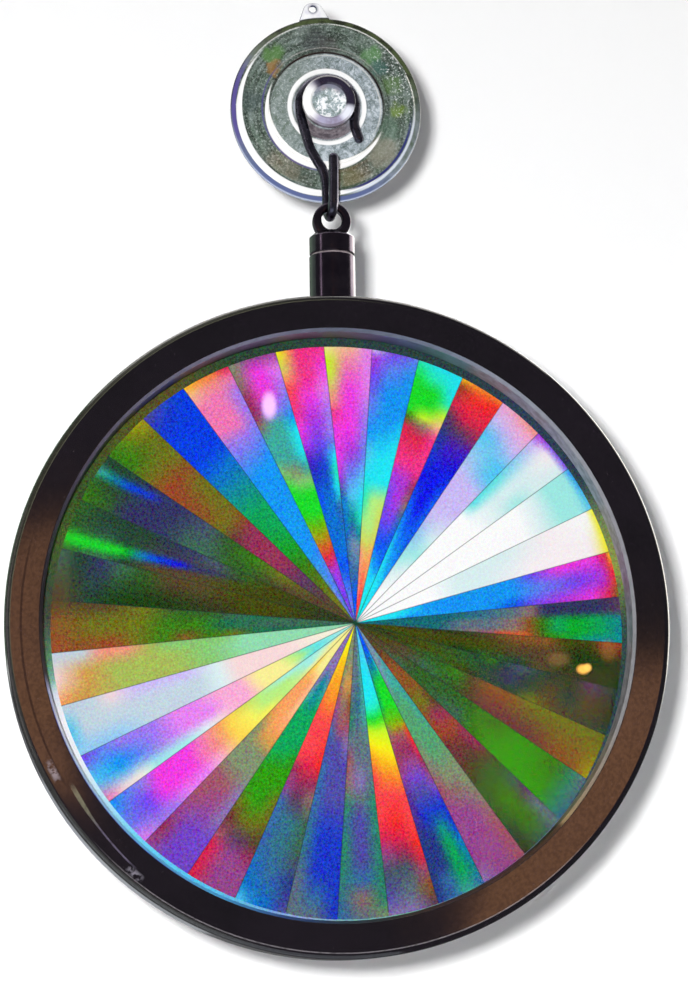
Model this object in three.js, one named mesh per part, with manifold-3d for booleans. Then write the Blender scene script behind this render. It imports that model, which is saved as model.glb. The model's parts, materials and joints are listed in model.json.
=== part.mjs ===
// A window suncatcher: a laminated diffraction disc in a round ring frame, hung from a swivel,
// a bent wire hook and a clear suction cup.
//
// Millimetres, +Z up. The origin is the centre of the cup's window face, the window is the plane
// y = 0 and the object stands out from it towards -Y, which is its front.
// The suction cup, the hook and the hung frame are the three things that move against each other:
// the hook turns on the neck, the eye swings in the hook's bowl and the barrel turns on its pin.

import * as THREE from 'three';
import { mergeVertices } from 'three/addons/utils/BufferGeometryUtils.js';
import Module from 'manifold-3d';

const wasm = await Module();
wasm.setup();

// ---- driving dimensions -------------------------------------------------------------------

const GAP = 0.05;                   // clearance between parts that sit on each other

// suction cup, with its axis along Y
const CUP_R = 16.3;                 // outer radius of the flange, pressed onto the window
const CUP_SEAT_R = 13.2;            // inner radius of the flat that touches the window
const CUP_DISH = 1.4;               // depth of the hollow behind the cup
const CUP_STEP_R = 9.6;             // radius of the raised middle
const CUP_SHOULDER_R = 6.5;         // radius of the flat under the neck
const CUP_SHOULDER_Y = -2.3;        // front of that flat
const NECK_R = 3.5;
const HEAD_R = 4.5;
const HEAD_BACK_Y = -4.55;
const HEAD_FRONT_Y = -6.3;
const HEAD_DISH_R = 3.0;            // shallow round recess in the head's front
const HEAD_DISH_DEPTH = 0.5;

// pull tab, moulded with the cup
const TAB_LEAN = 6.4;               // degrees it leans off the vertical, to the object's left
const TAB_FOOT = 14.2;              // distance of its foot from the cup's axis
const TAB_TOP = 19.15;              // distance of its tip from the cup's axis
const TAB_FOOT_WIDTH = 7.0;
const TAB_TIP_R = 1.6;
const TAB_SIDE_SLOPE = 25;          // degrees each side leans in towards the tip
const TAB_HOLE_R = 0.55;
const TAB_HOLE_FROM_TOP = 1.15;
const TAB_BACK_Y = -0.15;
const TAB_THICK = 0.8;

// wire hook
const WIRE_R = 0.825;
const ARCH_R = 4.75;                // centreline radius of the arch over the neck
const ARCH_Z = -0.1;
const ARCH_Y = -3.42;
const LEG_Y = -4.5;                 // rear leg, clear of the cup
const BOWL_R = 2.3;                 // centreline radius of the U bend the eye hangs in
const AXIS_Y = -6.8;                // the line everything below the hook hangs on
const BOWL_Z = -18.15;              // centre of the U bend
const HOOK_TIP_Z = -10.9;           // top of the front leg

// swivel: eye and cap above, barrel below, held together by a headed pin
const EYE_Z = -21.4;
const EYE_R = 2.6;                  // radius of the middle of the eye's ring
const EYE_HALF_WIDTH = 0.6;
const EYE_HALF_DEPTH = 0.9;
const CAP_TOP_Z = -23.35;
const CAP_TOP_R = 2.75;
const CAP_R = 3.75;
const CAP_CHAMFER = 0.85;
const CAP_BOTTOM_Z = -27.05;
const PIN_R = 1.0;
const PIN_HEAD_R = 1.9;
const PIN_TOP_Z = -24.9;
const PIN_BOTTOM_Z = -31.6;
const PIN_HEAD_THICK = 1.1;
const WASHER_R = 3.45;
const WASHER_THICK = 0.3;
const BARREL_R = 3.8;
const BARREL_WALL = 1.3;
const BARREL_TOP_Z = CAP_BOTTOM_Z - WASHER_THICK - 2 * GAP;
const BARREL_ROOM_TOP_Z = -29.3;
const BARREL_ROOM_BOTTOM_Z = -32.6;
const STUD_R = 1.25;
const STUD_LENGTH = 1.9;            // how far the barrel's stud enters the frame

// ring frame, with its axis along Y
const FRAME_Z = -89.2;
const FRAME_R = 54.0;
const FRAME_FRONT_Y = -12.5;
const FRAME_BACK_Y = -2.1;
const FRAME_ROUND = 1.0;            // rounding of the outer front edge
const FRAME_BACK_CHAMFER = 0.4;
const LIP_R = 48.4;                 // where the flat front face ends
const BORE_R = 47.4;
const BEVEL_DEPTH = 0.8;
const REBATE_R = 51.2;              // pocket that takes the discs, open to the back
const SHOULDER_Y = -7.15;           // what the front disc sits against

// laminated disc and the ring that holds it in
const DISC_R = 50.8;
const FRONT_DISC_THICK = 2.0;
const FILM_R = 50.6;
const FILM_THICK = 0.2;
const REAR_DISC_THICK = 1.4;
const RETAINER_R = 51.1;
const RETAINER_CHAMFER = 0.4;

const RING_SIDES = 120;
const SMALL_SIDES = 48;
const WIRE_SIDES = 14;
const WIRE_STEPS = 110;

// ---- geometry helpers ---------------------------------------------------------------------

const rad = THREE.MathUtils.degToRad;

// A closed three.js geometry as a manifold solid, with seams merged and collapsed faces dropped.
function solid(geometry) {
  const bare = geometry.clone();
  bare.deleteAttribute('normal');
  bare.deleteAttribute('uv');
  const merged = mergeVertices(bare, 1e-4);
  const index = merged.index.array;
  const kept = [];
  for (let i = 0; i < index.length; i += 3) {
    const [a, b, c] = [index[i], index[i + 1], index[i + 2]];
    if (a !== b && b !== c && a !== c) {
      kept.push(a, b, c);
    }
  }
  const made = (triangles) => new wasm.Manifold(new wasm.Mesh({
    numProp: 3,
    vertProperties: new Float32Array(merged.attributes.position.array),
    triVerts: new Uint32Array(triangles),
  }));
  const outward = made(kept);
  if (outward.volume() > 0) {
    return outward;
  }
  for (let i = 0; i < kept.length; i += 3) {
    [kept[i + 1], kept[i + 2]] = [kept[i + 2], kept[i + 1]];
  }
  return made(kept);
}

function mesh(name, body, color) {
  const { numProp, vertProperties, triVerts } = body.getMesh();
  const positions = new Float32Array((vertProperties.length / numProp) * 3);
  for (let i = 0; i < positions.length / 3; i += 1) {
    for (let k = 0; k < 3; k += 1) {
      positions[i * 3 + k] = vertProperties[i * numProp + k];
    }
  }
  const geometry = new THREE.BufferGeometry();
  geometry.setAttribute('position', new THREE.BufferAttribute(positions, 3));
  geometry.setIndex(new THREE.BufferAttribute(new Uint32Array(triVerts), 1));
  const made = new THREE.Mesh(geometry, new THREE.MeshStandardMaterial({ color }));
  made.name = name;
  return made;
}

// Turns [radius, along] pairs about the Y axis at height z; `along` is the world y.
function turnedOnY(profile, z = 0, sides = RING_SIDES) {
  const points = profile.map(([r, y]) => new THREE.Vector2(r, y));
  return solid(new THREE.LatheGeometry(points, sides).translate(0, 0, z));
}

// Turns [radius, height] pairs about the hanging line; `height` is the world z.
function turnedOnZ(profile, sides = SMALL_SIDES) {
  const points = profile.map(([r, z]) => new THREE.Vector2(r, z));
  const turned = new THREE.LatheGeometry(points, sides);
  turned.rotateX(Math.PI / 2);
  return solid(turned.translate(0, AXIS_Y, 0));
}

function disc(radius, frontY, backY, sides = RING_SIDES) {
  return turnedOnY([[0, frontY], [radius, frontY], [radius, backY], [0, backY]], FRAME_Z, sides);
}

// Points of an arc from one angle to another, in degrees, as [radius or x, height] pairs.
function arc(cx, cy, r, from, to, steps) {
  const points = [];
  for (let i = 0; i <= steps; i += 1) {
    const angle = rad(from + ((to - from) * i) / steps);
    points.push([cx + r * Math.cos(angle), cy + r * Math.sin(angle)]);
  }
  return points;
}

// ---- suction cup with neck, head and pull tab ---------------------------------------------

function pullTab() {
  const foot = TAB_FOOT_WIDTH / 2;
  const tipCentre = TAB_TOP - TAB_TIP_R;
  const outline = new THREE.Shape();
  outline.moveTo(-foot, TAB_FOOT);
  outline.lineTo(foot, TAB_FOOT);
  outline.absarc(0, tipCentre, TAB_TIP_R, rad(TAB_SIDE_SLOPE), rad(180 - TAB_SIDE_SLOPE), false);
  outline.closePath();
  const hole = new THREE.Path();
  hole.absarc(0, TAB_TOP - TAB_HOLE_FROM_TOP, TAB_HOLE_R, 0, 2 * Math.PI, true);
  outline.holes.push(hole);
  const plate = new THREE.ExtrudeGeometry(outline, {
    depth: TAB_THICK,
    bevelEnabled: false,
    curveSegments: 12,
  });
  plate.rotateX(Math.PI / 2);
  plate.translate(0, TAB_BACK_Y, 0);
  plate.rotateY(rad(-TAB_LEAN));
  return solid(plate);
}

function suctionCup() {
  const hollow = [];
  for (let i = 0; i <= 6; i += 1) {
    const r = (CUP_SEAT_R * i) / 6;
    hollow.push([r, -CUP_DISH * (1 - (r / CUP_SEAT_R) ** 2)]);
  }
  const headMiddleY = (HEAD_BACK_Y + HEAD_FRONT_Y) / 2;
  const front = [
    [CUP_R - 0.15, 0],
    [CUP_R, -0.2],
    [CUP_R, -0.6],
    [CUP_R - 0.3, -0.9],
    [CUP_R - 1.2, -1.05],
    [CUP_R - 2.3, -1.15],
    [CUP_R - 4.5, -1.5],
    [CUP_STEP_R + 0.15, -1.75],
    [CUP_STEP_R, -2.05],
    [CUP_STEP_R - 0.5, -2.2],
    [CUP_SHOULDER_R + 0.3, CUP_SHOULDER_Y + 0.05],
    [CUP_SHOULDER_R, CUP_SHOULDER_Y],
    [NECK_R + 0.3, CUP_SHOULDER_Y],
    [NECK_R, CUP_SHOULDER_Y - 0.25],
    [NECK_R, HEAD_BACK_Y],
    [HEAD_R - 0.25, HEAD_BACK_Y],
    ...arc(HEAD_R - 0.35, headMiddleY + 0.45, 0.35, 40, 0, 3),
    ...arc(HEAD_R - 0.6, HEAD_FRONT_Y + 0.6, 0.6, 0, -90, 5),
    [HEAD_DISH_R + 0.1, HEAD_FRONT_Y],
    [HEAD_DISH_R - 0.2, HEAD_FRONT_Y + HEAD_DISH_DEPTH],
    [0, HEAD_FRONT_Y + HEAD_DISH_DEPTH],
  ];
  return turnedOnY([...hollow, ...front], 0, 72).add(pullTab());
}

// ---- wire hook ----------------------------------------------------------------------------

function hookPath() {
  const legX = -0.45;
  const tipX = 0.15;
  const points = [
    [5.25, ARCH_Y, -5.8],
    [4.85, ARCH_Y, -4.6],
    [4.5, ARCH_Y, -3.3],
    [4.6, ARCH_Y, -1.7],
    ...arc(0, ARCH_Z, ARCH_R, 0, 180, 12).map(([x, z]) => [x, ARCH_Y, z]),
    [-4.66, ARCH_Y - 0.03, -1.5],
    [-4.4, ARCH_Y - 0.12, -3.0],
    [-3.85, ARCH_Y - 0.4, -5.3],
    [-3.15, LEG_Y + 0.3, -7.9],
    [-2.1, LEG_Y + 0.05, -10.0],
    [-1.15, LEG_Y, -11.7],
    [-0.65, LEG_Y, -13.5],
    [-0.5, LEG_Y, -15.8],
  ];
  // the bowl, from the rear leg under the hanging line to the front leg
  for (const [y, z] of arc(AXIS_Y, BOWL_Z, BOWL_R, 0, -180, 12)) {
    const share = (LEG_Y - y) / (2 * BOWL_R);
    points.push([legX + (tipX - legX) * share, y, z]);
  }
  points.push([tipX, LEG_Y - 2 * BOWL_R, (BOWL_Z + HOOK_TIP_Z) / 2]);
  points.push([tipX + 0.1, LEG_Y - 2 * BOWL_R, HOOK_TIP_Z - WIRE_R]);
  return points.map(([x, y, z]) => new THREE.Vector3(x, y, z));
}

function hookWire() {
  const points = hookPath();
  const path = new THREE.CatmullRomCurve3(points, false, 'centripetal');
  const section = new THREE.Shape();
  for (const [i, [x, y]] of arc(0, 0, WIRE_R, 0, 360, WIRE_SIDES).slice(1).entries()) {
    if (i === 0) {
      section.moveTo(x, y);
    } else {
      section.lineTo(x, y);
    }
  }
  section.closePath();
  let wire = solid(new THREE.ExtrudeGeometry(section, { steps: WIRE_STEPS, extrudePath: path }));
  for (const end of [points[0], points[points.length - 1]]) {
    const ball = new THREE.SphereGeometry(WIRE_R, WIRE_SIDES, 10);
    wire = wire.add(solid(ball.translate(end.x, end.y, end.z)));
  }
  return wire;
}

// ---- swivel -------------------------------------------------------------------------------

function swivelEye() {
  const section = [];
  for (let i = 0; i <= 14; i += 1) {
    const angle = (2 * Math.PI * i) / 14;
    section.push([EYE_R + EYE_HALF_WIDTH * Math.cos(angle), EYE_HALF_DEPTH * Math.sin(angle)]);
  }
  section[14] = section[0];
  const eye = turnedOnY(section, EYE_Z, 40).translate([0, AXIS_Y, 0]);
  const cap = turnedOnZ([
    [0, CAP_TOP_Z],
    [CAP_TOP_R, CAP_TOP_Z],
    [CAP_R, CAP_TOP_Z - CAP_CHAMFER],
    [CAP_R, CAP_BOTTOM_Z + 0.15],
    [CAP_R - 0.15, CAP_BOTTOM_Z],
    [PIN_R + GAP, CAP_BOTTOM_Z],
    [PIN_R + GAP, PIN_TOP_Z + GAP],
    [0, PIN_TOP_Z + GAP],
  ]);
  return eye.add(cap);
}

function swivelPin() {
  const headTop = PIN_BOTTOM_Z + PIN_HEAD_THICK;
  return turnedOnZ([
    [0, PIN_TOP_Z],
    [PIN_R, PIN_TOP_Z],
    [PIN_R, headTop],
    [PIN_HEAD_R, headTop],
    [PIN_HEAD_R, PIN_BOTTOM_Z + 0.3],
    [PIN_HEAD_R - 0.3, PIN_BOTTOM_Z],
    [0, PIN_BOTTOM_Z],
  ], 32);
}

function swivelWasher() {
  const top = CAP_BOTTOM_Z - GAP;
  const bore = PIN_R + 0.3;
  return turnedOnZ([
    [bore, top],
    [WASHER_R, top],
    [WASHER_R, top - WASHER_THICK],
    [bore, top - WASHER_THICK],
    [bore, top],
  ]);
}

function swivelBarrel() {
  const foot = FRAME_Z + FRAME_R - 1;
  const bore = PIN_R + 0.3;
  const room = BARREL_R - BARREL_WALL;
  const tube = turnedOnZ([
    [bore, BARREL_TOP_Z],
    [BARREL_R - 0.15, BARREL_TOP_Z],
    [BARREL_R, BARREL_TOP_Z - 0.15],
    [BARREL_R, foot],
    [0, foot],
    [0, BARREL_ROOM_BOTTOM_Z],
    [room, BARREL_ROOM_BOTTOM_Z],
    [room, BARREL_ROOM_TOP_Z],
    [bore, BARREL_ROOM_TOP_Z],
    [bore, BARREL_TOP_Z],
  ]);
  const seat = turnedOnY([
    [0, FRAME_FRONT_Y - 2],
    [FRAME_R + GAP, FRAME_FRONT_Y - 2],
    [FRAME_R + GAP, 2],
    [0, 2],
  ], FRAME_Z);
  const studTop = FRAME_Z + FRAME_R + 0.5;
  const studFoot = FRAME_Z + FRAME_R - STUD_LENGTH;
  const stud = turnedOnZ([[0, studTop], [STUD_R, studTop], [STUD_R, studFoot], [0, studFoot]], 32);
  return tube.subtract(seat).add(stud);
}

// ---- ring frame and what it holds ---------------------------------------------------------

function frameRing() {
  const outer = arc(FRAME_R - FRAME_ROUND, FRAME_FRONT_Y + FRAME_ROUND, FRAME_ROUND, -90, 0, 6);
  const ring = turnedOnY([
    [LIP_R, FRAME_FRONT_Y],
    ...outer,
    [FRAME_R, FRAME_BACK_Y - FRAME_BACK_CHAMFER],
    [FRAME_R - FRAME_BACK_CHAMFER, FRAME_BACK_Y],
    [REBATE_R, FRAME_BACK_Y],
    [REBATE_R, SHOULDER_Y],
    [BORE_R, SHOULDER_Y],
    [BORE_R, FRAME_FRONT_Y + BEVEL_DEPTH],
    [LIP_R, FRAME_FRONT_Y],
  ], FRAME_Z);
  const top = FRAME_Z + FRAME_R + 1;
  const foot = FRAME_Z + FRAME_R - STUD_LENGTH - 0.15;
  const bore = STUD_R + GAP;
  const studHole = turnedOnZ([[0, top], [bore, top], [bore, foot], [0, foot]], 32);
  return ring.subtract(studHole);
}

const frontDiscY = SHOULDER_Y + GAP;
const filmY = frontDiscY + FRONT_DISC_THICK + GAP;
const rearDiscY = filmY + FILM_THICK + GAP;
const retainerY = rearDiscY + REAR_DISC_THICK + GAP;

function retainingRing() {
  return turnedOnY([
    [BORE_R, retainerY],
    [RETAINER_R, retainerY],
    [RETAINER_R, FRAME_BACK_Y],
    [BORE_R + RETAINER_CHAMFER, FRAME_BACK_Y],
    [BORE_R, FRAME_BACK_Y - RETAINER_CHAMFER],
    [BORE_R, retainerY],
  ], FRAME_Z);
}

// ---- assembly -----------------------------------------------------------------------------

const part = new THREE.Group();
part.name = 'suncatcher';
part.add(
  mesh('suction_cup', suctionCup(), 0xcfdad6),
  mesh('hook_wire', hookWire(), 0x3d3a44),
  mesh('swivel_eye', swivelEye(), 0x2e2a33),
  mesh('swivel_pin', swivelPin(), 0x8a8a90),
  mesh('swivel_washer', swivelWasher(), 0x55545c),
  mesh('swivel_barrel', swivelBarrel(), 0x2a2630),
  mesh('frame_ring', frameRing(), 0x1b1a1e),
  mesh('front_disc', disc(DISC_R, frontDiscY, frontDiscY + FRONT_DISC_THICK), 0xe4f0f0),
  mesh('grating_film', disc(FILM_R, filmY, filmY + FILM_THICK), 0x6c5fb0),
  mesh('rear_disc', disc(DISC_R, rearDiscY, rearDiscY + REAR_DISC_THICK), 0xe4f0f0),
  mesh('retaining_ring', retainingRing(), 0x1b1a1e),
);

export default part;
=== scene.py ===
import json
import math

import bmesh
import bpy
from mathutils import Matrix, Vector, noise


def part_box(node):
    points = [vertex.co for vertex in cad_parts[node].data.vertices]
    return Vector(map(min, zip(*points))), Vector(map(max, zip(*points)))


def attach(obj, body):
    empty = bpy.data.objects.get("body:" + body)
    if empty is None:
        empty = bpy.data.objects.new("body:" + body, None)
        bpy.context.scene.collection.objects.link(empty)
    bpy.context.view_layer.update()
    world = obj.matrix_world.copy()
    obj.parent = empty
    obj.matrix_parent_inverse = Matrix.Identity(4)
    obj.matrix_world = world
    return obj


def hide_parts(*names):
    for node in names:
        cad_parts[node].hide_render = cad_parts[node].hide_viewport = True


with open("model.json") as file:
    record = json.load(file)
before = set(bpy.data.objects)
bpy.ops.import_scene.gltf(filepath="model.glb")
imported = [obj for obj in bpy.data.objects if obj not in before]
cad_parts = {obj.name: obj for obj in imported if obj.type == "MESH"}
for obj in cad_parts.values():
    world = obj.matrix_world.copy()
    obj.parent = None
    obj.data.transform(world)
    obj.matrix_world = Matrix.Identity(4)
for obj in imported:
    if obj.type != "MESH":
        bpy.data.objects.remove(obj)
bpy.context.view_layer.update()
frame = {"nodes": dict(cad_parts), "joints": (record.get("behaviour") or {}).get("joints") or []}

MM = 0.001

# ---- places and sizes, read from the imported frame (metres) ---------------------------------

ring_low, ring_high = (Vector(v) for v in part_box("frame_ring"))
RING_C = (ring_low + ring_high) / 2
RING_R = (ring_high.x - ring_low.x) / 2
FRONT_Y = ring_low.y
BACK_Y = ring_high.y
DISC_LOW, DISC_HIGH = (Vector(v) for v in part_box("front_disc"))
FILM_LOW, FILM_HIGH = (Vector(v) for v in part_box("grating_film"))
REAR_LOW, REAR_HIGH = (Vector(v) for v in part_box("rear_disc"))
RETAINER_LOW, RETAINER_HIGH = (Vector(v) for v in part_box("retaining_ring"))
AXIS_Y = next(joint["pos_m"][1] for joint in frame["joints"] if joint["name"] == "eye_swing")

LIP_R = RING_R - 5.6 * MM
BORE_R = RING_R - 6.1 * MM
REBATE_R = RING_R - 2.8 * MM


# ---- mesh helpers --------------------------------------------------------------------------

def link(obj):
    bpy.context.scene.collection.objects.link(obj)
    return obj


def sharpen(mesh, degrees=38):
    """Smooth shading everywhere but over edges that turn by more than the angle."""
    bm = bmesh.new()
    bm.from_mesh(mesh)
    bmesh.ops.recalc_face_normals(bm, faces=bm.faces)
    for face in bm.faces:
        face.smooth = True
    for edge in bm.edges:
        edge.smooth = len(edge.link_faces) == 2 and edge.calc_face_angle(0) < math.radians(degrees)
    bm.to_mesh(mesh)
    bm.free()


def piece(name, verts, faces, materials, face_material=None, degrees=38):
    mesh = bpy.data.meshes.new(name)
    mesh.from_pydata(verts, [], faces)
    for material in materials:
        mesh.materials.append(material)
    if face_material:
        for polygon, index in zip(mesh.polygons, face_material):
            polygon.material_index = index
    sharpen(mesh, degrees)
    return link(bpy.data.objects.new(name, mesh))


def sheet(name, verts, faces, material):
    mesh = bpy.data.meshes.new(name)
    mesh.from_pydata(verts, [], faces)
    mesh.materials.append(material)
    return link(bpy.data.objects.new(name, mesh))


def level_normals(made):
    """Keeps flat faces flat in reflections, with the turn of the normals left to the fillets."""
    weighted = made.modifiers.new("normals", "WEIGHTED_NORMAL")
    weighted.keep_sharp = True
    weighted.weight = 100
    return made


def fillet(corners, steps=6):
    """Rounds the corners of an outline: each corner is (u, v, radius) and stays sharp at radius 0.
    Returns (u, v, corner index) for each point, the index being that of the side it starts."""
    points = []
    count = len(corners)
    for i, (u, v, radius) in enumerate(corners):
        here = Vector((u, v))
        if radius <= 0:
            points.append((u, v, i))
            continue
        before = Vector(corners[i - 1][:2]) - here
        after = Vector(corners[(i + 1) % count][:2]) - here
        half = before.angle(after) / 2
        cut = min(radius / math.tan(half), before.length * 0.49, after.length * 0.49)
        radius = cut * math.tan(half)
        centre = here + (before.normalized() + after.normalized()).normalized() * radius / math.sin(half)
        start = here + before.normalized() * cut - centre
        turn = start.angle_signed(here + after.normalized() * cut - centre)
        for k in range(steps + 1):
            angle = -turn * k / steps
            c, s = math.cos(angle), math.sin(angle)
            p = centre + Vector((start.x * c - start.y * s, start.x * s + start.y * c))
            points.append((p.x, p.y, i))
    return points


def turned(name, outline, materials, centre=(0, 0, 0), along="Y", sides=192, side_material=None, steps=6):
    """Turns a closed outline of (radius, place along the axis, fillet) about an axis.
    side_material gives the material index of the side that starts at each corner."""
    points = fillet(outline, steps)
    count = len(points)
    verts = []
    for k in range(sides):
        angle = 2 * math.pi * k / sides
        for r, a, _ in points:
            x, y = r * math.cos(angle), r * math.sin(angle)
            verts.append((x + centre[0], a, y + centre[2]) if along == "Y" else (x, y + centre[1], a))
    faces, marks = [], []
    for k in range(sides):
        for i in range(count):
            j = (i + 1) % count
            quad = (k * count + i, k * count + j, (k + 1) % sides * count + j, (k + 1) % sides * count + i)
            faces.append(quad)
            marks.append(side_material[points[i][2]] if side_material else 0)
    made = piece(name, verts, faces, materials, marks)
    bm = bmesh.new()
    bm.from_mesh(made.data)
    bmesh.ops.remove_doubles(bm, verts=bm.verts, dist=1e-7)
    bmesh.ops.dissolve_degenerate(bm, edges=bm.edges, dist=1e-8)
    bm.to_mesh(made.data)
    bm.free()
    sharpen(made.data)
    return level_normals(made)


def smooth_path(points, per_span=8):
    """Catmull-Rom points through the given ones."""
    ends = [2 * points[0] - points[1], *points, 2 * points[-1] - points[-2]]
    path = []
    for i in range(1, len(ends) - 2):
        a, b, c, d = ends[i - 1:i + 3]
        for k in range(per_span):
            t = k / per_span
            path.append(0.5 * (2 * b + (c - a) * t + (2 * a - 5 * b + 4 * c - d) * t * t
                               + (3 * b - a - 3 * c + d) * t ** 3))
    path.append(points[-1])
    return path


def tube(name, path, radius, materials, around=32, cap_steps=6):
    """A round bar along a path, with domed ends."""
    rings = []
    first = (path[1] - path[0]).normalized()
    last = (path[-1] - path[-2]).normalized()
    for k in range(cap_steps):
        angle = math.pi / 2 * k / cap_steps
        rings.append((path[0] - first * radius * math.cos(angle), first, radius * math.sin(angle)))
    for i, point in enumerate(path):
        tangent = (path[min(i + 1, len(path) - 1)] - path[max(i - 1, 0)]).normalized()
        rings.append((point, tangent, radius))
    for k in range(cap_steps):
        angle = math.pi / 2 * (k + 1) / cap_steps
        rings.append((path[-1] + last * radius * math.sin(angle), last, radius * math.cos(angle)))
    verts, faces = [], []
    side = Vector((0, 1, 0))
    for centre, tangent, r in rings:
        side = (side - tangent * side.dot(tangent)).normalized()
        other = tangent.cross(side)
        for k in range(around):
            angle = 2 * math.pi * k / around
            verts.append(centre + (side * math.cos(angle) + other * math.sin(angle)) * max(r, 1e-6))
    for i in range(len(rings) - 1):
        for k in range(around):
            n = (k + 1) % around
            faces.append((i * around + k, i * around + n, (i + 1) * around + n, (i + 1) * around + k))
    faces.append(tuple(range(around)))
    faces.append(tuple((len(rings) - 1) * around + k for k in reversed(range(around))))
    return piece(name, verts, faces, materials, degrees=60)


# ---- material helpers ----------------------------------------------------------------------

def srgb(red, green, blue):
    """A colour given as it looks on screen, 0 to 255 a channel, as linear light."""
    return tuple((c / 255 / 12.92) if c <= 10 else ((c / 255 + 0.055) / 1.055) ** 2.4
                 for c in (red, green, blue)) + (1.0,)


class Nodes:
    """A node tree. Each call adds a node and returns the socket that comes out of it."""

    def __init__(self, owner):
        owner.use_nodes = True
        self.tree = owner.node_tree

    def plug(self, socket, value):
        if isinstance(value, bpy.types.NodeSocket):
            self.tree.links.new(value, socket)
        else:
            socket.default_value = value

    def add(self, kind, values=None, out=0, **settings):
        node = self.tree.nodes.new("ShaderNode" + kind)
        for key, value in settings.items():
            setattr(node, key, value)
        for key, value in (values or {}).items():
            self.plug(node.inputs[key], value)
        return node.outputs[out]

    def show(self, shader, output="Material Output"):
        """Makes a shader the one that the whole tree gives."""
        self.plug(self.tree.nodes[output].inputs[0], shader)

    def ray(self, kind):
        return self.add("LightPath", out=f"Is {kind} Ray")

    def place(self):
        return self.add("TexCoord", out="Object")

    def flattened(self):
        """Places with the depth left out, so that a pattern runs straight through the piece."""
        return self.add("Mapping", {"Vector": self.place(), "Scale": (1, 0, 1)})

    def split(self, vector):
        node = self.tree.nodes.new("ShaderNodeSeparateXYZ")
        self.plug(node.inputs[0], vector)
        return tuple(node.outputs)

    def math(self, operation, a, b=0.0, clamp=False):
        return self.add("Math", {0: a, 1: b}, operation=operation, use_clamp=clamp)

    def times(self, first, *others):
        for other in others:
            first = self.math("MULTIPLY", first, other)
        return first

    def vector(self, operation, a, b):
        return self.add("VectorMath", {0: a, 1: b}, operation=operation)

    def stretched(self, vector, length):
        return self.add("VectorMath", {0: vector, "Scale": length}, operation="SCALE")

    def noise(self, where, scale, detail=2.0, roughness=0.5, out="Fac"):
        values = {"Vector": where, "Scale": scale, "Detail": detail, "Roughness": roughness}
        return self.add("TexNoise", values, out=out)

    def scatter(self, where, scale, detail, roughness):
        """Three independent noises around zero, as a vector."""
        colour = self.noise(where, scale, detail, roughness, out="Color")
        return self.vector("SUBTRACT", colour, (0.5, 0.5, 0.5))

    def ramp(self, value, *stops):
        """Colours along a value, from (place, (red, green, blue)) as they look on screen."""
        node = self.tree.nodes.new("ShaderNodeValToRGB")
        self.plug(node.inputs[0], value)
        elements = node.color_ramp.elements
        while len(elements) < len(stops):
            elements.new(1.0)
        for element, (position, colour) in zip(elements, stops):
            element.position = position
            element.color = srgb(*colour)
        return node.outputs[0]

    def mix(self, share, a, b, blend="MIX"):
        node = self.tree.nodes.new("ShaderNodeMix")
        node.data_type = "RGBA"
        node.blend_type = blend
        for index, value in ((0, share), (6, a), (7, b)):
            self.plug(node.inputs[index], value)
        return node.outputs[2]

    def lay(self, colour, share, *rgb):
        """Lays a colour, given as it looks on screen, over another one."""
        return self.mix(share, colour, srgb(*rgb))

    def two_tone(self, share, from_rgb, to_rgb):
        return self.mix(share, srgb(*from_rgb), srgb(*to_rgb))

    def span(self, value, low, high, to_low=0.0, to_high=1.0, smooth=True):
        values = {"Value": value, "From Min": low, "From Max": high, "To Min": to_low, "To Max": to_high}
        kind = "SMOOTHSTEP" if smooth else "LINEAR"
        return self.add("MapRange", values, interpolation_type=kind)

    def polar(self, centre):
        """Radius and angle about an axis along Y through centre, and the place along it."""
        x, y, z = self.split(self.place())
        x = self.math("SUBTRACT", x, centre[0])
        z = self.math("SUBTRACT", z, centre[2])
        return self.length(x, z), self.math("ARCTAN2", z, x), y

    def length(self, x, z):
        return self.math("SQRT", self.math("ADD", self.times(x, x), self.times(z, z)))

    def blob(self, colour, x, z, radius, rgb, strength=1.0, stretch=(1.0, 1.0), where=None):
        """A soft round patch of another colour, with its width and height multiplied by stretch."""
        across, _, up = self.split(where or self.place())
        across = self.math("DIVIDE", self.math("SUBTRACT", across, x), stretch[0])
        up = self.math("DIVIDE", self.math("SUBTRACT", up, z), stretch[1])
        share = self.span(self.length(across, up), radius * 0.35, radius, strength, 0.0)
        return self.lay(colour, share, *rgb)

    def band(self, value, low, high, soft):
        """1 between two values and 0 outside them, with soft edges."""
        return self.times(self.span(value, low - soft, low + soft),
                          self.span(value, high - soft, high + soft, 1.0, 0.0))

    def facing(self, angle, middle, half, soft):
        """1 where an angle in radians lies within half degrees of the middle one, 0 well away."""
        away = self.math("COSINE", self.math("SUBTRACT", angle, math.radians(middle)))
        return self.span(away, math.cos(math.radians(min(half + soft, 180))),
                         math.cos(math.radians(max(half - soft, 0))))

    def stroke(self, value, middle, half, soft):
        """1 within half of a middle value, fading out over soft beyond it."""
        away = self.math("ABSOLUTE", self.math("SUBTRACT", value, middle))
        return self.span(away, half, self.math("ADD", half, soft), 1.0, 0.0)


class Surface(Nodes):
    """A material with one Principled shader."""

    def __init__(self, name, **settings):
        self.material = bpy.data.materials.new(name)
        super().__init__(self.material)
        self.shader = self.tree.nodes["Principled BSDF"]
        for key, value in settings.items():
            self.set(key.replace("_", " "), value)

    def set(self, key, value):
        names = {socket.name.lower(): socket for socket in self.shader.inputs}
        self.plug(names[key.lower()], value)

    def bump(self, height, strength, distance):
        values = {"Height": height, "Strength": strength, "Distance": distance}
        self.set("normal", self.add("Bump", values))


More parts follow.
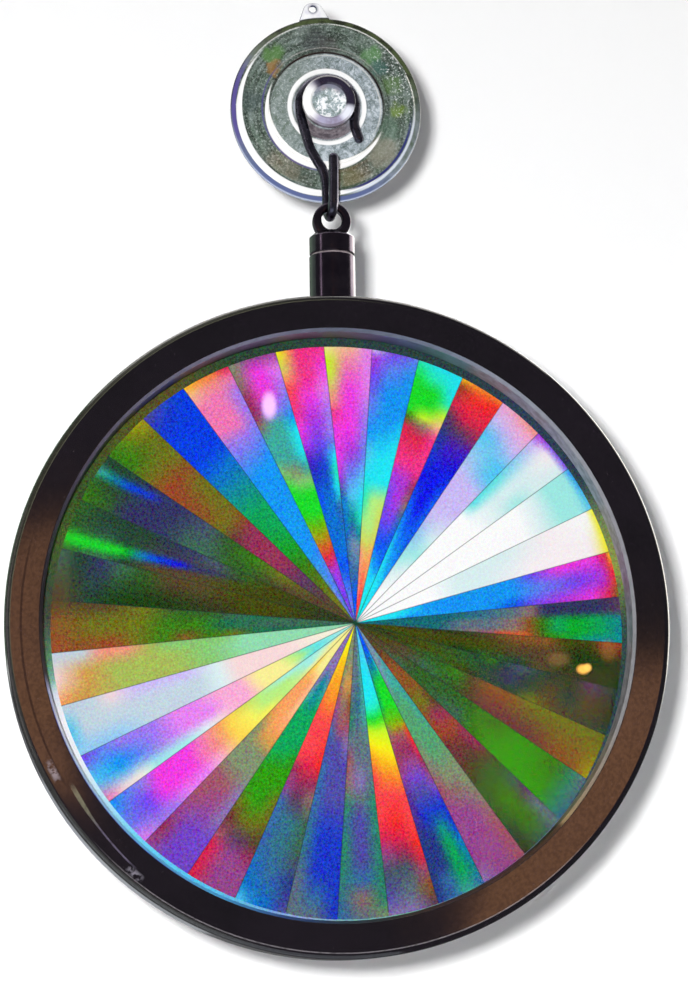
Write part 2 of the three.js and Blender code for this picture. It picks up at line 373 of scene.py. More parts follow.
class Turned(Surface):
    """A material on a piece that is round about an axis along Y. Radii are in millimetres and
    angles in degrees, and a side is (middle, half, fade): an angle, how far it holds, how it ends."""

    def __init__(self, name, centre, **settings):
        super().__init__(name, **settings)
        self.radius, self.angle, self.y = self.polar(centre)

    def beyond(self, low, high, to_low=0.0, to_high=1.0):
        return self.span(self.radius, low * MM, high * MM, to_low, to_high)

    def side(self, middle, half, fade):
        return self.facing(self.angle, middle, half, fade)

    def arc(self, low, high, soft, *side):
        """A stripe between two radii, all the way round or on one side only."""
        stripe = self.band(self.radius, low * MM, high * MM, soft * MM)
        return self.times(stripe, self.side(*side)) if side else stripe

    def crescent(self, at, half, soft, swell, side):
        """A stripe at a radius that swells to its half width on one side and ends on another."""
        wide = self.times(self.side(*swell), half * MM)
        return self.times(self.stroke(self.radius, at * MM, wide, soft * MM), self.side(*side))


# ---- camera, stage and light ---------------------------------------------------------------

CAMERA_AT = Vector((-0.05006, -0.46925, -0.14897))
CAMERA_YAW = math.radians(-6.349)
CAMERA_PITCH = math.radians(9.986)
CAMERA_ROLL = math.radians(-0.898)
LENS = 105.33
SENSOR_WIDTH = 36.0

ahead = Vector((-math.sin(CAMERA_YAW) * math.cos(CAMERA_PITCH),
                math.cos(CAMERA_YAW) * math.cos(CAMERA_PITCH), math.sin(CAMERA_PITCH)))
level = Vector((math.cos(CAMERA_YAW), math.sin(CAMERA_YAW), 0))
upright = level.cross(ahead)
right = level * math.cos(CAMERA_ROLL) + upright * math.sin(CAMERA_ROLL)
upward = upright * math.cos(CAMERA_ROLL) - level * math.sin(CAMERA_ROLL)
camera_data = bpy.data.cameras.new("camera")
camera_data.lens = LENS
camera_data.sensor_width = SENSOR_WIDTH
camera_data.clip_start = 0.01
camera = link(bpy.data.objects.new("camera", camera_data))
camera.matrix_world = Matrix.Translation(CAMERA_AT) @ Matrix((right, upward, -ahead)).transposed().to_4x4()
bpy.context.scene.camera = camera
bpy.context.scene.view_settings.view_transform = "Standard"

FLOOR_Z = -0.42
WALL_Y = 0.065
WALL_TOP = 0.6
WALL_HALF = 1.2
FLOOR_FRONT = -1.6
SWEEP_BEND = 0.05           # radius of the curve from the floor up into the wall
SWEEP_STEPS = 12
PAPER_GLOW_FROM = 0.17      # distances from the ring's shadow where the paper starts to glow
PAPER_GLOW_FULL = 0.34
COOL_WHITE = (0.97, 0.97, 1.0, 1)


def backdrop_paper():
    """Matt paper that can't be seen from behind and casts no shadow. Away from the ring's shadow
    it glows for the camera, so that it stays pale out to the edges."""
    n = Surface("backdrop_paper", base_color=(0.9, 0.9, 0.9, 1), roughness=0.9, emission_color=COOL_WHITE)
    away = n.add("VectorMath", {0: n.place(), 1: (0, WALL_Y, RING_C.z)}, "Value", operation="DISTANCE")
    glow = n.span(away, PAPER_GLOW_FROM, PAPER_GLOW_FULL)
    n.set("emission strength", n.times(glow, n.ray("Camera")))
    unseen = n.math("MAXIMUM", n.ray("Shadow"), n.add("NewGeometry", out="Backfacing"), clamp=True)
    n.show(n.add("MixShader", {0: unseen, 1: n.shader.outputs[0], 2: n.add("BsdfTransparent")}))
    return n.material


def sweep():
    """Floor and backdrop in one curved sheet."""
    profile = [(FLOOR_FRONT, FLOOR_Z), (WALL_Y - SWEEP_BEND, FLOOR_Z)]
    for k in range(1, SWEEP_STEPS + 1):
        angle = math.pi / 2 * k / SWEEP_STEPS
        profile.append((WALL_Y - SWEEP_BEND + SWEEP_BEND * math.sin(angle),
                        FLOOR_Z + SWEEP_BEND - SWEEP_BEND * math.cos(angle)))
    profile.append((WALL_Y, WALL_TOP))
    verts = [(x, y, z) for x in (-WALL_HALF, WALL_HALF) for y, z in profile]
    count = len(profile)
    made = sheet("backdrop", verts, [(i, i + count, i + count + 1, i + 1) for i in range(count - 1)],
                 backdrop_paper())
    for polygon in made.data.polygons:
        polygon.use_smooth = True
    made.visible_glossy = False


def area(name, at, towards, size, power):
    data = bpy.data.lights.new(name, "AREA")
    data.shape = "RECTANGLE"
    data.size = size
    data.size_y = size
    data.energy = power
    light = link(bpy.data.objects.new(name, data))
    light.location = at
    light.rotation_euler = (Vector(towards) - Vector(at)).to_track_quat("-Z", "Y").to_euler()
    light.visible_camera = False
    return light


def card(name, corners, colour, strength):
    """A sheet that is seen only in reflections, as a room's bright places are, with soft streaks."""
    material = bpy.data.materials.new(name)
    n = Nodes(material)
    n.tree.nodes.remove(n.tree.nodes["Principled BSDF"])
    streaks = n.noise(n.add("Mapping", {"Vector": n.place(), "Scale": (16, 16, 2)}), 1.0)
    dim = (*(channel * 0.55 for channel in colour), 1)
    tone = n.mix(n.span(streaks, 0.3, 0.65, smooth=False), dim, (*colour, 1))
    n.show(n.add("Emission", {0: tone, 1: strength}))
    made = sheet(name, corners, [(0, 1, 2, 3)], material)
    for kind in ("camera", "diffuse", "shadow", "transmission"):
        setattr(made, "visible_" + kind, False)


def upright_card(name, start, end, low, high, colour, strength):
    """A standing card whose foot runs from start to end, each given as (x, y)."""
    card(name, [(*start, low), (*end, low), (*end, high), (*start, high)], colour, strength)


def level_card(name, x_low, x_high, y_low, y_high, z, colour, strength):
    card(name, [(x_low, y_low, z), (x_high, y_low, z), (x_high, y_high, z), (x_low, y_high, z)],
         colour, strength)


sweep()
MIDDLE = Vector((0, RING_C.y, RING_C.z))
key = area("key", CAMERA_AT - right * 0.019 + upward * 0.016, MIDDLE, 0.017, 3.0)
key.visible_glossy = False
area("top_fill", (-0.25, -0.45, 0.55), MIDDLE, 0.35, 0.22)
area("back_fill", (0.45, 0.7, 0.30), MIDDLE, 0.5, 3.6)
area("back_left_fill", (-0.7, 0.35, 0.1), MIDDLE, 0.5, 3.0)

BROWN = (0.30, 0.142, 0.068)
upright_card("left_reflection", (-0.25, -2.0), (-0.015, -2.0), 0.01, 0.255, BROWN, 10)
upright_card("right_reflection", (0.335, -2.0), (0.60, -2.0), -0.15, 0.13, BROWN, 10)
upright_card("strip_reflection", (-0.87, -0.38), (-0.84, -0.45), -0.4, 0.4, (0.95, 0.85, 0.85), 5)
upright_card("right_edge_reflection", (0.50, 0.07), (0.25, 0.5), -0.09, 0.35, (1.0, 0.96, 0.86), 6)
upright_card("left_edge_reflection", (-0.50, 0.07), (-0.25, 0.5), -0.09, 0.6, (0.5, 0.75, 0.5), 1.2)
level_card("overhead_reflection", -0.5, 0.5, -0.1, 0.6, 0.5, (1.0, 0.97, 0.92), 4)
level_card("low_reflection", -0.9, 0.15, -0.5, 0.2, -0.6, (0.85, 0.92, 1.0), 1.4)
upright_card("far_low_reflection", (-0.6, 0.9), (0.0, 0.9), -0.5, -0.08, (0.9, 0.95, 1.0), 0.6)

ROOM_LIGHT = 0.13           # brightness of the room as it lights things, as it is mirrored, and as seen
ROOM_MIRRORED = 0.14
ROOM_SEEN = 1.0
world = bpy.data.worlds.new("room")
bpy.context.scene.world = world
sky = Nodes(world)
lit, mirrored, seen = (sky.add("Background", {0: COOL_WHITE, 1: strength})
                       for strength in (ROOM_LIGHT, ROOM_MIRRORED, ROOM_SEEN))
room = sky.add("MixShader", {0: sky.ray("Glossy"), 1: lit, 2: mirrored})
room = sky.add("MixShader", {0: sky.ray("Camera"), 1: room, 2: seen})
sky.show(room, "World Output")


# ---- colours -------------------------------------------------------------------------------

def linear(colour):
    """Linear light from a colour as it looks on screen."""
    return Vector(srgb(*colour)[:3])


def stops(text):
    """Places and colours from a line of the tables below. A colour may hold from place to place."""
    words = text.split()
    return [(float(place), Vector(PALETTE[name])) for span, name in zip(words[::2], words[1::2])
            for place in span.split("-")]


def sector_lines(texts):
    """The lines of one sector. Where the last text starts with "then", it ends all the others."""
    *lines, last = texts
    if not last.startswith("then "):
        return [stops(text) for text in texts]
    return [stops(line + last.removeprefix("then")) for line in lines]


def along(pairs, t):
    """Screen colour at t from (place, colour) pairs in falling order of place."""
    if t >= pairs[0][0]:
        return pairs[0][1]
    for (high, outer), (low, inner) in zip(pairs, pairs[1:]):
        if t >= low:
            return inner.lerp(outer, (t - low) / (high - low))
    return pairs[-1][1]


def around(stops_round, degrees):
    """Linear colour at an angle from (degrees, red, green, blue) going round from 0 to 360."""
    degrees %= 360
    first, last = stops_round[0], stops_round[-1]
    looped = [(last[0] - 360, *last[1:]), *stops_round, (first[0] + 360, *first[1:])]
    for (low, *a), (high, *b) in zip(looped, looped[1:]):
        if low <= degrees <= high:
            return linear(Vector(a).lerp(Vector(b), (degrees - low) / (high - low)))


def paint(made, colour_at):
    """Stores a colour for every corner of the mesh, worked out from where the corner is."""
    tint = made.data.color_attributes.new("tint", "FLOAT_COLOR", "CORNER")
    for loop in made.data.loops:
        tint.data[loop.index].color = (*colour_at(made.data.vertices[loop.vertex_index].co), 1)


# Light caught by the disc's uncoated margin, and by the ring's bevel and bore. Each stop is an angle
# from +X towards +Z in degrees and a colour as it looks on screen.
MARGIN_TINTS = [
    (0, 58, 82, 76), (12, 150, 160, 80), (22, 120, 140, 90), (30, 54, 72, 82), (50, 50, 70, 92),
    (64, 48, 70, 72), (90, 48, 72, 66), (112, 50, 76, 54), (124, 92, 84, 42), (138, 84, 90, 40),
    (150, 62, 88, 44), (162, 66, 92, 40), (172, 50, 78, 56), (178, 58, 66, 60), (186, 80, 130, 100),
    (190.5, 120, 180, 160), (193, 215, 225, 240), (198, 250, 250, 255), (208, 245, 250, 255),
    (216, 190, 236, 255), (226, 120, 220, 255), (240, 90, 205, 252), (252, 110, 195, 240),
    (262, 150, 170, 225),
    (272, 130, 190, 190), (284, 120, 185, 170), (296, 150, 170, 205), (310, 140, 160, 190),
    (322, 70, 90, 104), (340, 54, 78, 86),
]
BEVEL_TINTS = [
    (0, 152, 152, 156), (20, 152, 152, 158), (40, 148, 150, 160), (58, 140, 145, 158), (70, 108, 116, 134),
    (90, 96, 102, 118), (108, 116, 116, 134), (130, 110, 106, 122), (150, 88, 80, 96), (163, 60, 56, 66),
    (176, 50, 44, 50), (190, 60, 54, 62), (193, 190, 195, 230), (200, 245, 248, 255), (214, 190, 228, 255),
    (226, 120, 215, 255), (246, 84, 185, 245), (258, 60, 90, 150), (268, 50, 66, 80),
    (280, 48, 56, 50), (292, 66, 48, 42),
    (316, 84, 60, 46), (317.5, 178, 150, 108), (326, 172, 152, 132), (340, 158, 156, 158),
]
BORE_TINTS = [
    (0, 172, 174, 182), (40, 160, 164, 174), (58, 126, 132, 142), (72, 66, 78, 84), (90, 44, 60, 58),
    (120, 30, 44, 38), (160, 26, 30, 28), (200, 90, 100, 140), (250, 50, 70, 95), (290, 44, 46, 42),
    (316, 80, 64, 52), (318, 190, 168, 132), (340, 184, 180, 184),
]

# Colours that the film shows, as they look on screen.
PALETTE = {
    "white": (255, 255, 255), "pearl": (252, 243, 246), "ivory": (250, 243, 222), "ice": (220, 242, 243),
    "mist": (196, 214, 226), "blush": (248, 217, 218), "carnation": (249, 172, 214), "rose": (244, 124, 184),
    "orchid": (230, 132, 242), "lilac": (206, 190, 248), "lavender": (160, 124, 240),
    "periwinkle": (104, 130, 244), "powder": (150, 205, 244), "sky": (84, 202, 245), "aqua": (162, 238, 232),
    "turquoise": (96, 228, 230), "cyan": (36, 232, 246), "mint": (40, 240, 190), "celadon": (146, 220, 176),
    "pistachio": (185, 240, 130), "cream": (250, 240, 150), "lemon": (250, 242, 95), "straw": (214, 220, 96),
    "gold": (252, 212, 80), "peach": (250, 190, 150), "apricot": (250, 164, 98), "salmon": (245, 148, 128),
    "coral": (252, 72, 78), "red": (246, 48, 44), "crimson": (222, 40, 78), "pink": (245, 56, 140),
    "magenta": (242, 62, 226), "purple": (176, 58, 222), "violet": (122, 72, 238), "indigo": (70, 34, 188),
    "ultramarine": (18, 26, 230), "cobalt": (30, 58, 202), "royal": (4, 64, 228), "blue": (16, 90, 240),
    "cerulean": (14, 114, 208), "azure": (24, 152, 246), "steel": (55, 108, 168), "denim": (55, 115, 138),
    "teal": (20, 142, 152), "lagoon": (24, 104, 114), "sea": (64, 172, 160), "verdigris": (86, 164, 114),
    "spruce": (46, 134, 106), "holly": (30, 110, 78), "jade": (16, 166, 92), "emerald": (12, 170, 42),
    "clover": (25, 162, 48), "green": (30, 222, 44), "lime": (200, 248, 44), "yellow": (250, 246, 26),
    "amber": (252, 188, 36), "orange": (252, 136, 48), "tangerine": (220, 96, 42), "rust": (158, 72, 44),
    "brown": (138, 86, 40), "ochre": (168, 156, 26), "olive": (112, 116, 32), "grass": (105, 190, 20),
    "leaf": (50, 155, 18), "moss": (58, 124, 24), "fern": (52, 96, 40), "forest": (30, 62, 20),
    "pine": (40, 70, 54), "lichen": (62, 104, 84), "bronze": (70, 74, 14), "soot": (52, 60, 32),
    "umber": (88, 72, 44), "wine": (108, 58, 58), "maroon": (150, 52, 90), "rosewood": (162, 84, 106),
    "mauve": (154, 74, 146), "plum": (92, 62, 96), "damson": (84, 46, 146), "grape": (82, 78, 166),
    "amethyst": (118, 72, 204), "heather": (140, 118, 178), "pewter": (122, 146, 174),
    "navy": (42, 60, 136), "dusk": (52, 55, 98), "slate": (72, 88, 106), "stone": (98, 116, 130),
    "ash": (130, 145, 112), "taupe": (142, 114, 108), "sage": (136, 200, 116), "khaki": (168, 188, 90),
    "tan": (212, 156, 78),
}

# Each sector's colours down lines that are evenly spaced from its clockwise edge to the other one.
# A line says how far out each colour lies, from the tinted rim at 1 to the pattern's centre at 0.
# A text that starts with "then" is the inner end of all the sector's lines.
SECTOR_TINTS = [
    ["1 olive .97 crimson .9 magenta .78 purple .68 violet .6 blue .5-.2 azure .1 cyan",
     "1 red .95 purple .85 violet .72 periwinkle .6-.28 azure .15 cyan",
     "1 amber .98 crimson .93-.79 magenta .7 violet .6-.28 azure .18 cyan"],
    ["1 yellow .975 cream .94-.7 pearl .5-.4 ice .3 white",
     "1 yellow .97 white .8 pearl .62-.42 ice .3 white"],
    ["1 sky .96-.88 aqua .8 ice .72 white", "1 azure .97-.88 aqua .82 ice .74 white"],
    ["1 violet .97-.85 ice .76 aqua .68 ice .58 white", "1 violet .97 pearl .85-.7 ice .56 white",
     "1 purple .95 lilac .87 powder .76-.63 turquoise .57 white"],
    ["1 salmon .96 carnation .88 lilac .8-.74 sky .66-.55 lilac .43 ice .34 aqua .28 ice .15 white",
     "1 carnation .93 lilac .86 sky .78 powder .68-.5 lilac .4 powder .3 aqua .23 ice .13 white"],
    ["1 orange .97 red .88 crimson .82 maroon .76 indigo .66 ultramarine .55-.35 blue .2 azure .1 cyan",
     "1 orange .95 red .87 crimson .81 plum .75 indigo .63-.5 ultramarine .4 blue .28 azure .15 cyan",
     "1 amber .97 rust .9 crimson .85 plum .78 navy .7 cobalt .6 ultramarine .5 blue .38 azure .28 cyan"],
    ["1-.92 cyan .88 mint .84 lime .79 peach .74-.6 pink .54 maroon .47 taupe .42 steel .34-.24 blue"
     " .17 cyan .08 mint",
     "1 cyan .95 mint .9-.85 green .8 lime .77 taupe .72 crimson .62 pink .55-.48 purple .4 violet"
     " .3 blue .22 azure .15 cyan",
     "1 mint .93-.82 green .79 moss .75 crimson .62 pink .57 purple .5-.4 violet .3 blue .2 cyan"],
    ["1 periwinkle .92-.78 azure .66-.52 cyan .46 pistachio .41-.32 straw .26-.15 apricot .08 coral",
     "1 violet .95 periwinkle .85-.75 azure .6-.52 cyan .45-.35 pistachio .29 straw .23 apricot .1 coral",
     "1 lilac .97 purple .9 violet .8 periwinkle .7 azure .62 sky .54 cyan .46 mint .36 pistachio"
     " .3 straw .25-.1 salmon .06 red"],
    ["1-.85 orchid .75 lavender .6 periwinkle .52 sky .45 cyan .37 mint .32 teal .27 pewter .18 steel"
     " .1 blue",
     "1 peach .93 rose .84-.7 magenta .62 purple .54 periwinkle .46 sky .38 teal .33 steel .28 pewter"
     " .18 steel .1 blue",
     "1 cream .95-.91 lime .87 straw .8 salmon .76 pink .7-.6 magenta .53 purple .48 grape"
     " .44-.33 cerulean .27-.15 steel .1 blue"],
    ["1 pink .93 magenta .85 orchid .76-.69 lavender .65 periwinkle .6 cyan .55 mint .48 cyan .42 steel"
     " .3 cerulean",
     "1-.9 pink .82 magenta .74 purple .66 violet .57 cobalt .45-.3 cerulean",
     "1 yellow .94 straw .9 apricot .86 coral .77 pink .71 magenta .65 purple .59 indigo .53 cobalt"
     " .44 blue .33 cerulean",
     "then .2 blue .08 periwinkle"],
    ["1 mauve .94 orchid .87 lavender .81 periwinkle .76 azure .71-.63 cyan .57 sea .53 sage"
     " .48-.41 green .37 grass .33 ochre .29 tangerine .26 crimson .22 purple .12 violet",
     "1 mauve .95-.86 magenta .8 lavender .75-.62 sea .57 ash .53 sage .48-.41 green .36 grass .32 ochre"
     " .28 tangerine .24 crimson .2 purple .1 violet",
     "1 ash .92 taupe .87-.8 maroon .76 taupe .71-.63 sea .58 sage .5-.42 green .37 grass .32 ochre"
     " .28 tangerine .24 crimson .18 violet"],
    ["1 crimson .96 rose .9-.8 lavender .73 periwinkle .65-.35 azure .2 periwinkle .08 steel",
     "1 orange .97 salmon .92-.8 rose .75 lavender .69 periwinkle .62-.3 azure .1 periwinkle",
     "1 amber .96 peach .9-.8 rose .75 lavender .68 periwinkle .6-.3 azure .12 pewter"],
    ["1-.78 royal .7 cerulean .6 teal .5-.42 jade",
     "1 grape .94 cobalt .86-.76 royal .68 cerulean .6 teal .5 jade", "then .34 clover .26 moss .12 olive"],
    ["1 ochre .93-.84 olive .77 brown .7-.6 olive .52 brown .47-.32 maroon",
     "1-.92 moss .85 olive .77 rust .62 brown .55 olive .49 wine .43-.32 maroon", "then .22 plum .1 umber"],
    ["1-.9 pine .8-.7 dusk .58 slate .5 fern .4 moss .3 olive .15 umber",
     "1 moss .92 fern .85-.72 dusk .62-.54 lichen .47-.4 fern .25 umber"],
    ["1 fern .9-.75 pine .62 dusk .5 slate .42 fern .3 bronze .1 soot",
     "1 fern .88 lichen .8 pine .7-.55 umber .4 bronze .1 soot"],
    ["1 lichen .93 pine .87 dusk .8 lichen .72 fern .64-.52 umber .4-.25 bronze .1 soot",
     "1 umber .88 pine .78-.65 forest .5 soot .3 bronze .1 soot"],
    ["1-.85 umber .7 olive .58-.48 fern .4 lichen .32 holly .22-.08 lichen",
     "1 brown .85-.72 olive .62-.52 moss .42 holly .3-.15 lichen",
     "1 rust .92 brown .8 rust .72 olive .64 moss .56 brown .48 moss .4 olive .33-.15 holly"],
    ["1-.9 mist .84-.76 salmon .68 khaki .62-.45 sage .36-.08 celadon",
     "1 blush .9 tan .8-.62 khaki .5 sage .38-.15 celadon",
     "1 apricot .94 tan .78-.6 khaki .48 sage .36-.12 celadon"],
    ["1-.9 mist .84 blush .76-.58 lilac", "1 sky .95-.55 mist", "1-.85 powder .74-.56 mist",
     "then .48 ice .42-.25 blush .12 ivory"],
    ["1 violet .93 periwinkle .86-.75 lavender .67-.6 orchid .52-.44 carnation .37-.29 cream"
     " .24 pistachio .18 turquoise .06 aqua",
     "1 sky .9 azure .82 periwinkle .76 lavender .66-.56 orchid .5-.43 carnation .37-.28 cream"
     " .22 pistachio .15 turquoise .06 aqua",
     "1 rose .93 blush .86 ivory .8-.68 aqua .6 ice .54 blush .48-.43 carnation .36-.26 cream"
     " .18 turquoise .08 aqua"],
    ["1 azure .93 periwinkle .87 lavender .82-.7 magenta .64 rose .57 apricot .52 gold .46 straw"
     " .4 pistachio .3-.12 aqua",
     "1 periwinkle .9 violet .84-.72 magenta .66 rose .6 salmon .54 gold .47 lemon .4-.3 pistachio"
     " .2 aqua .1 cream",
     "1 orchid .92-.85 lavender .78-.7 orchid .64 carnation .59 peach .54 gold .46-.4 lemon .33 pistachio"
     " .2 cream"],
    ["1 mauve .92 maroon .85 mauve .77-.68 rosewood .61-.47 ash .42 tan .37-.26 apricot .2 gold .12 cream",
     "1-.88 amethyst .78 mauve .7 rosewood .62-.54 ash .49 tan .43-.25 apricot .19 cream",
     "1-.87 amethyst .8-.7 heather .62-.55 ash .5 tan .44 apricot .36-.26 peach .2 cream"],
    ["1-.88 crimson .83 rosewood .77 wine .71 olive .65-.58 leaf .5-.35 jade .29 sea .24-.12 heather",
     "1-.88 mauve .82 plum .76 olive .68-.56 leaf .48-.36 jade .29-.23 teal .17 heather",
     "1-.92 mauve .86 maroon .81 umber .74-.66 olive .6-.52 leaf .45-.33 jade .26 sea .18 heather"],
    ["1 sky .94 cerulean .8-.65 steel .59 mauve .53 maroon .48-.34 coral .27 orange .2 amber .08 yellow",
     "1 cerulean .9 steel .8-.7 denim .63 plum .57 maroon .51 crimson .45-.36 coral .28 orange .16 amber"
     " .08 yellow",
     "1 grape .9 navy .84 slate .78-.7 lichen .62 taupe .56 maroon .5 red .36 coral .28 orange .15 amber"
     " .08 yellow"],
    ["1-.88 stone .78 denim .6-.5 steel .45 grape .38 steel .31 mauve .25 rosewood .18 ash",
     "1 stone .93 steel .85-.72 cobalt .6-.42 grape .36 rosewood .28 taupe .21 tan .12 ash",
     "1-.75 cobalt .6-.48 grape .42 heather .35 rosewood .28 brown .21 tan .12 ash"],
    ["1 steel .92 denim .83-.74 spruce .68 denim .62 spruce .55 taupe .47 rosewood .4 stone .34 spruce"
     " .25-.1 stone",
     "1 stone .93 taupe .87 steel .8-.66 grape .6 stone .54 heather .46-.38 stone .28 denim .15 stone",
     "1 ash .94-.62 spruce .52-.42 stone .32-.12 sea"],
    ["1 heather .93 grape .86 slate .79 mauve .73 crimson .67-.53 coral .49 orange .45 amber .41 yellow"
     " .37 lime .34 green .3 mint .27-.18 cyan .1 sky",
     "1 heather .93 stone .85 slate .8 maroon .75 crimson .69 red .6 coral .54 orange .49 amber"
     " .43 yellow .38 lime .34 green .3 mint .26-.16 cyan .08 sky",
     "1 plum .94 brown .88 rosewood .84 crimson .79 red .7-.62 coral .56 orange .51 amber .46 yellow"
     " .38 lime .33 green .29 mint .24 cyan .12 sky"],
    ["1-.78 navy .7-.62 damson .55 mauve .5 maroon .43 rosewood .39 taupe .36 grass .3-.22 jade .17 teal"
     " .1 blue",
     "1-.93 steel .88-.78 navy .7 cobalt .63 grape .57 amethyst .52 mauve .47 maroon .42 rosewood"
     " .39 ochre .36 grass .3-.23 green .17 teal .1 blue",
     "1 sea .93-.82 jade .76 teal .7 cobalt .63 grape .57 amethyst .52 mauve .47 maroon .42 rosewood"
     " .39 ochre .36 grass .3-.23 green .17 teal .1 blue",
     "1 steel .92 teal .83 cerulean .76-.69 cobalt .64 amethyst .59 mauve .54 maroon .49 crimson .44 red"
     " .4 tangerine .37 grass .32-.22 green .17 mint .1 azure"],
    ["1 heather .92-.74 mauve .66 rosewood .58 taupe .52 ash .43-.32 verdigris .22 pewter",
     "1-.77 mauve .68 taupe .61 ash .52-.34 verdigris .25 sea .14 pewter",
     "1-.87 rosewood .77 taupe .68-.6 ash .48 verdigris .36-.18 sea .08 pewter"],
    ["1 soot .92 pine .84-.74 fern .66 umber .6-.54 wine .48 rust .4 brown .34 olive .28 brown .2 rust"
     " .1 umber",
     "1 lichen .92-.8 moss .7 fern .63 umber .58 wine .5 rust .43 maroon .37 olive .29-.2 brown .1 umber",
     "1-.9 stone .84 plum .78 lichen .72 fern .66 umber .6-.53 maroon .49 rust .45 maroon .39 umber"
     " .3-.22 brown .12 umber"],
    ["1 denim .96 spruce .88-.66 leaf .56 moss .48 lichen .3 fern .2 lichen .1 umber",
     "1 stone .95 spruce .88 moss .74 leaf .62 moss .4-.28 fern .18 umber"],
    ["1 ochre .93-.86 brown .74-.55 wine .48 umber .41 fern .28 lichen .18 umber .08 bronze",
     "1-.7 olive .62-.54 brown .47 umber .41 moss .3 fern .2 umber .08 bronze"],
    ["1 pine .8 umber .7 olive .62-.5 pine .42 bronze .34-.25 fern .12 bronze",
     "1 soot .9 umber .83 pine .76 umber .67 pine .6 dusk .52 pine .42 fern .25 bronze .12 soot",
     "1 pine .9 plum .82 soot .72 pine .63 slate .56 pine .52 moss .46 pine .38 fern .25 bronze"],
    ["1 forest .9-.78 soot .7 umber .62 pine .5 fern .4 forest .25 bronze .1 forest",
     "1 soot .84 forest .76-.6 umber .5-.2 bronze",
     "1-.93 rust .88-.79 bronze .72-.6 brown .5 umber .42-.3 soot .15 bronze"],
    ["1-.9 teal .84 jade .77 leaf .71 moss .67 brown .63-.55 tangerine .5 rosewood .44 taupe .36 stone"
     " .3 lagoon .2 slate .1 lichen",
     "1 teal .92 jade .82 emerald .76 jade .7 moss .65 brown .6 taupe .5-.4 stone .3 lagoon",
     "1 teal .92 jade .82 emerald .76 jade .7 moss .65 brown .6 taupe .5-.4 stone .3 lagoon",
     "1 plum .91-.71 dusk .66 taupe .6 stone .48 denim .33 lagoon",
     "1 plum .91-.71 dusk .66 taupe .6 stone .48 denim .33 lagoon"],
]

# A coloured line that runs inwards across a sector: sector, its places at the rim and inside as
# shares of the sector's width, its half width, its colours, and where it fades in and is full.
STREAKS = [
    (14, 0.33, 0.12, 0.16, "1 sea .95 teal .88 royal .8 cobalt .75 dusk", 0.70, 0.80),
    (15, 0.76, 0.36, 0.22,
     "1-.82 green .79 emerald .76 teal .73 cerulean .69 royal .62 ultramarine .56 dusk", 0.38, 0.52),
]

PATTERN_C = Vector((RING_C.x + 3.13 * MM, 0, RING_C.z + 0.51 * MM))
TINTED_C = Vector((RING_C.x + 0.40 * MM, 0, RING_C.z - 0.10 * MM))
TINTED_R = 46.95 * MM
WIDE_SIDE = Vector((math.cos(math.radians(-62)), 0, math.sin(math.radians(-62))))
WIDE_BY = 0.75 * MM         # the tint reaches this much farther out on its wide side
SECTORS = len(SECTOR_TINTS)
SECTOR_LINES = [sector_lines(texts) for texts in SECTOR_TINTS]
STREAK_LINES = [(*place, stops(text), low, high) for *place, text, low, high in STREAKS]
FIRST_EDGE = 5.6            # degrees from +X to the first sector's clockwise edge
SECTOR_STEPS = 12
RADIAL_STEPS = 60
EDGE_GREY = Vector((0.2, 0.2, 0.2))


def sector_tint(sector, share, t):
    """Film colour in a sector: share goes across it, t from the pattern's centre to the tinted rim."""
    lines = SECTOR_LINES[sector]
    place = share * (len(lines) - 1)
    first = min(int(place), len(lines) - 2)
    part = place - first
    part = part * part * (3 - 2 * part)
    colour = along(lines[first], t).lerp(along(lines[first + 1], t), part)
    for where, rim_share, inner_share, half, pairs, fade_low, fade_high in STREAK_LINES:
        if where == sector and t > fade_low:
            bend = math.sin(math.pi / 2 * (t - fade_low) / (1 - fade_low))
            middle = inner_share + (rim_share - inner_share) * bend
            width = half * (0.55 + 0.45 * t)
            strength = math.exp(-((share - middle) / width) ** 2 * 2.2)
            strength *= min(1, (t - fade_low) / (fade_high - fade_low))
            colour = colour.lerp(along(pairs, t), strength)
    return linear(colour)


def rim_distance(direction):
    """How far the tinted rim is from the pattern's centre in a direction."""
    offset = PATTERN_C - TINTED_C
    part = offset.dot(direction)
    wide = max(0, direction.dot(WIDE_SIDE)) ** 3
    return -part + math.sqrt(part * part - offset.length_squared + TINTED_R ** 2) + wide * WIDE_BY


